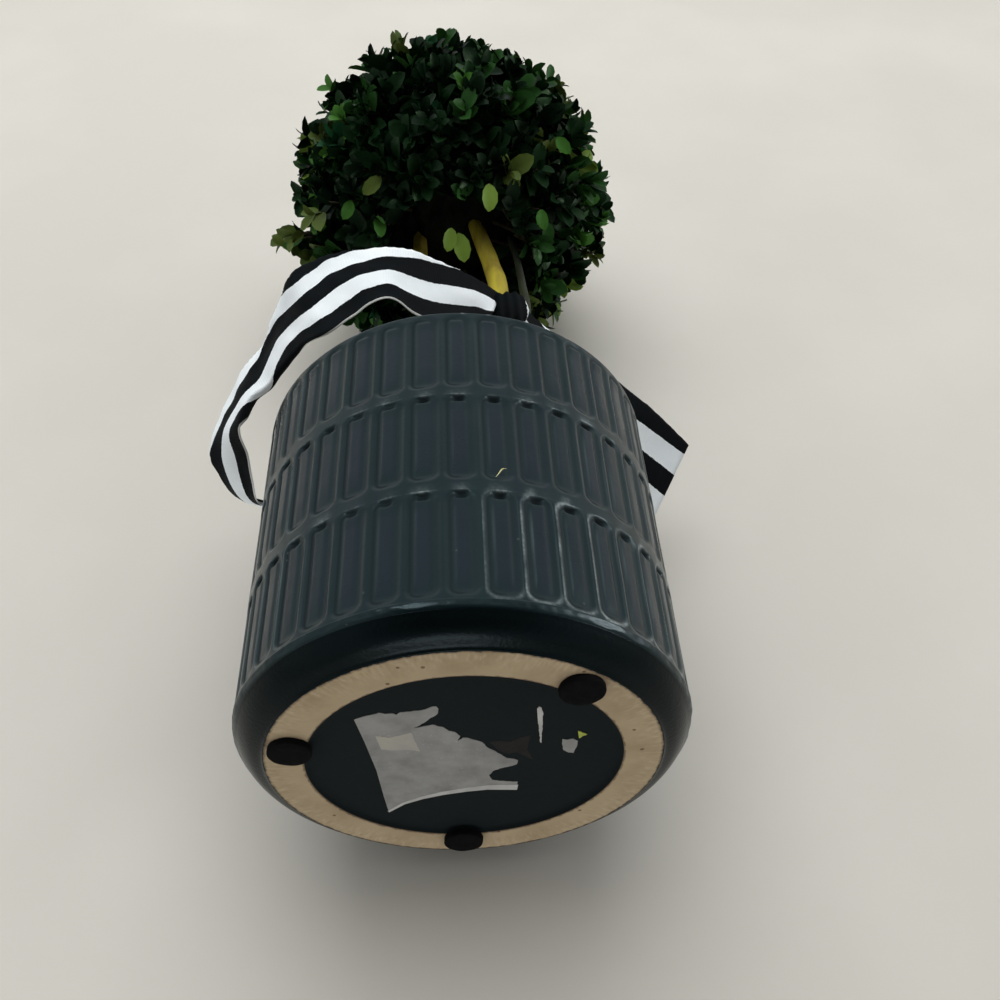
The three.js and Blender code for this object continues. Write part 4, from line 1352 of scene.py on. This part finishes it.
def makeTufts():
    shape = mossShape
    dice = np.random.default_rng(shape["seed"])
    count = shape["tufts"]
    r = np.sqrt(dice.uniform(0, 1, count)) * (shape["radius"] - 2.5)
    foot = roundAxis(r, dice.uniform(0, 2 * math.pi, count), 0.0)
    foot[:, 2] = mossHeight(foot[:, 0], foot[:, 1]) - 0.3
    way = unit(dice.normal(size=(count, 3)) * [1, 1, 0.4] + [0, 0, 0.7])
    side = unit(np.cross(way, dice.normal(size=(count, 3))))
    long = (shape["bladeLength"] * dice.uniform(0.5, 1.2, count))[:, None]
    bend = foot + way * long * 0.6 + np.array([0, 0, 0.4])
    tip = foot + way * long + dice.normal(size=(count, 3)) * 0.7
    wide, narrow = shape["bladeHalf"]
    points = [foot - side * wide, foot + side * wide, bend + side * narrow, bend - side * narrow, tip]
    points = np.stack(points, 1)
    points[:, :, 2] = np.minimum(points[:, :, 2], shape["topZ"] + 3.5)
    outside = np.hypot(points[:, :, 0], points[:, :, 1]).max(1) > shape["radius"]
    kind = dice.choice(3, count, p=[share for _, share in shape["colours"].values()])
    for k, name in enumerate(shape["colours"]):
        chosen = points[(kind == k) & ~outside]
        start = np.arange(len(chosen))[:, None] * 5
        quads, tips = start + np.array([0, 1, 2, 3]), start + np.array([3, 2, 4])
        addPiece(makeMesh(name, chosen.reshape(-1, 3), [quads, tips]), mossMaterial(name))


def mossMaterial(name):
    tint = mossShape["colours"][name][0]
    darker = tuple(c * 0.55 for c in tint[:3]) + (1,)
    material, tree, shader = newMaterial(name, 0.9, Specular_IOR_Level=0.2)
    tone = useGroup(tree, mottle, First=tint, Second=darker, Scale=130.0).outputs["Colour"]
    fibres = useGroup(tree, upwardStreaks, Scale=1200.0, Stretch=0.6).outputs["Mask"]
    finishSurface(tree, shader, paintOver(tree, tone, (fibres, 0.4, darker)), relief=(800.0, 0.0012, 0.8))
    return material


addPiece(makeMoss(), mossMaterial("mossGreen"), ["pot_filling"])
makeTufts()
print("moss made")


# A curl of dry fibre that clings to the wall

curlShape = {
    "bearing": -79.0,
    "z": 53.0,
    "radius": 64.35,
    "size": 1.7,
    "thick": 0.2,
    "colours": ((0.62, 0.60, 0.30, 1), (0.45, 0.42, 0.16, 1)),
}


def makeCurl():
    shape = curlShape
    t = np.linspace(-1, 1, 14)
    around = math.radians(shape["bearing"]) + (t * 0.6 + 0.35 * t**3) * shape["size"] / shape["radius"]
    height = shape["z"] + shape["size"] * (t - 0.45 * t**2)
    route = roundAxis(shape["radius"] + 0.25 * (1 - t**2), around, height)
    points, faces = twigShape(route, shape["thick"] * (1.05 - t**2 * 0.8), sides=8)
    return makeMesh("dryCurl", points, [faces])


addPiece(makeCurl(), cloudyMaterial("dryFibre", curlShape["colours"], scale=900.0, roughness=0.6))
print("dry curl made")


# Stage: a pale floor under the pot, and behind it the pale surface that it lies on in the photo.
# Each is seen from its front alone, so that neither hides the object from the other side.

stageLook = {
    "floorColours": ((0.61, 0.59, 0.535, 1), (0.64, 0.62, 0.565, 1)),
    "behindAt": 65.5,
    "reach": 6000.0,
}


def stageMaterial():
    material, tree, shader = newMaterial("paleSurface", 0.9, Specular_IOR_Level=0.2)
    first, second = stageLook["floorColours"]
    tone = useGroup(tree, mottle, First=first, Second=second, Scale=9.0)
    finishSurface(tree, shader, tone.outputs["Colour"])
    clear = addNode(tree, "ShaderNodeBsdfTransparent").outputs[0]
    behind = addNode(tree, "ShaderNodeNewGeometry").outputs["Backfacing"]
    both = addNode(tree, "ShaderNodeMixShader", {0: behind, 1: shader.outputs[0], 2: clear})
    tree.links.new(both.outputs[0], tree.nodes["Material Output"].inputs["Surface"])
    return material


def makeStage():
    far, back = stageLook["reach"], stageLook["behindAt"]
    material = stageMaterial()
    for name, corners in (
            ("floor", [(-far, -far, 0), (far, -far, 0), (far, far, 0), (-far, far, 0)]),
            ("backdrop", [(-far, back, -far), (far, back, -far), (far, back, far), (-far, back, far)])):
        mesh = makeMesh(name, corners, [np.array([[0, 1, 2, 3]])])
        mesh.materials.append(material)
        plane = bpy.data.objects.new(name, mesh)
        bpy.context.scene.collection.objects.link(plane)
        plane.visible_shadow = plane.visible_diffuse = False
        plane.visible_glossy = name == "backdrop"


makeStage()


# Lights: a broad window beyond the ball and a soft lamp for the far side, which show in no reflection; three
# lamps that show in nothing else; and a pale room that is dark towards the lens

lightSetup = {
    "window": {"place": (-60, -1300, 820), "size": 1600, "power": 19.0},
    "farFill": {"place": (-500, 1000, 700), "size": 900, "power": 5.0},
    "ceilingGlint": {"place": (-500, -1350, -40), "size": 420, "power": 5.5},
    "sideGlint": {"place": (1300, -600, 120), "size": 600, "power": 15.0},
    "lowGlint": {"place": (-70, 40, -620), "size": 300, "power": 1.7},
}

roomSetup = {
    "aim": (0, 0, 0.15),
    "lampColour": (1, 1, 1),
    "glintColour": (1, 0.84, 0.84),
    "above": (0.80, 0.82, 0.84, 1),
    "below": (0.78, 0.77, 0.75, 1),
    "dark": (0.02, 0.02, 0.02, 1),
    "darkWay": (0.02, -0.80, -0.60),
    "darkFrom": 0.70,
    "darkFull": 0.93,
    "strength": 0.9,
}


def roomWorld():
    world = bpy.data.worlds.new("paleRoom")
    world.use_nodes = True
    tree = world.node_tree
    way = addNode(tree, "ShaderNodeTexCoord").outputs["Generated"]
    height = addNode(tree, "ShaderNodeSeparateXYZ", {0: way}).outputs[2]
    room = blendColours(tree, mapRange(tree, height, -0.6, 0.7), roomSetup["below"], roomSetup["above"])
    aim = addNode(tree, "ShaderNodeVectorMath", {0: way, 1: roomSetup["darkWay"]}, operation="DOT_PRODUCT")
    shade = mapRange(tree, aim.outputs["Value"], roomSetup["darkFrom"], roomSetup["darkFull"])
    background = tree.nodes["Background"]
    tree.links.new(blendColours(tree, shade, room, roomSetup["dark"]), background.inputs["Color"])
    background.inputs["Strength"].default_value = roomSetup["strength"]
    return world


def placeLights():
    for name, light in lightSetup.items():
        glints = "Glint" in name
        data = bpy.data.lights.new(name, "AREA")
        data.shape, data.size, data.energy = "SQUARE", light["size"] * mm, light["power"]
        data.color = roomSetup["glintColour" if glints else "lampColour"]
        lamp = bpy.data.objects.new(name, data)
        bpy.context.scene.collection.objects.link(lamp)
        lamp.location = Vector(light["place"]) * mm
        lamp.rotation_mode = "QUATERNION"
        lamp.rotation_quaternion = (Vector(roomSetup["aim"]) - lamp.location).to_track_quat("-Z", "Y")
        lamp.visible_glossy, lamp.visible_diffuse, lamp.visible_camera = glints, not glints, False
    bpy.context.scene.world = roomWorld()
    bpy.context.scene.view_settings.view_transform = "Standard"


placeLights()
print("stage and lights placed")
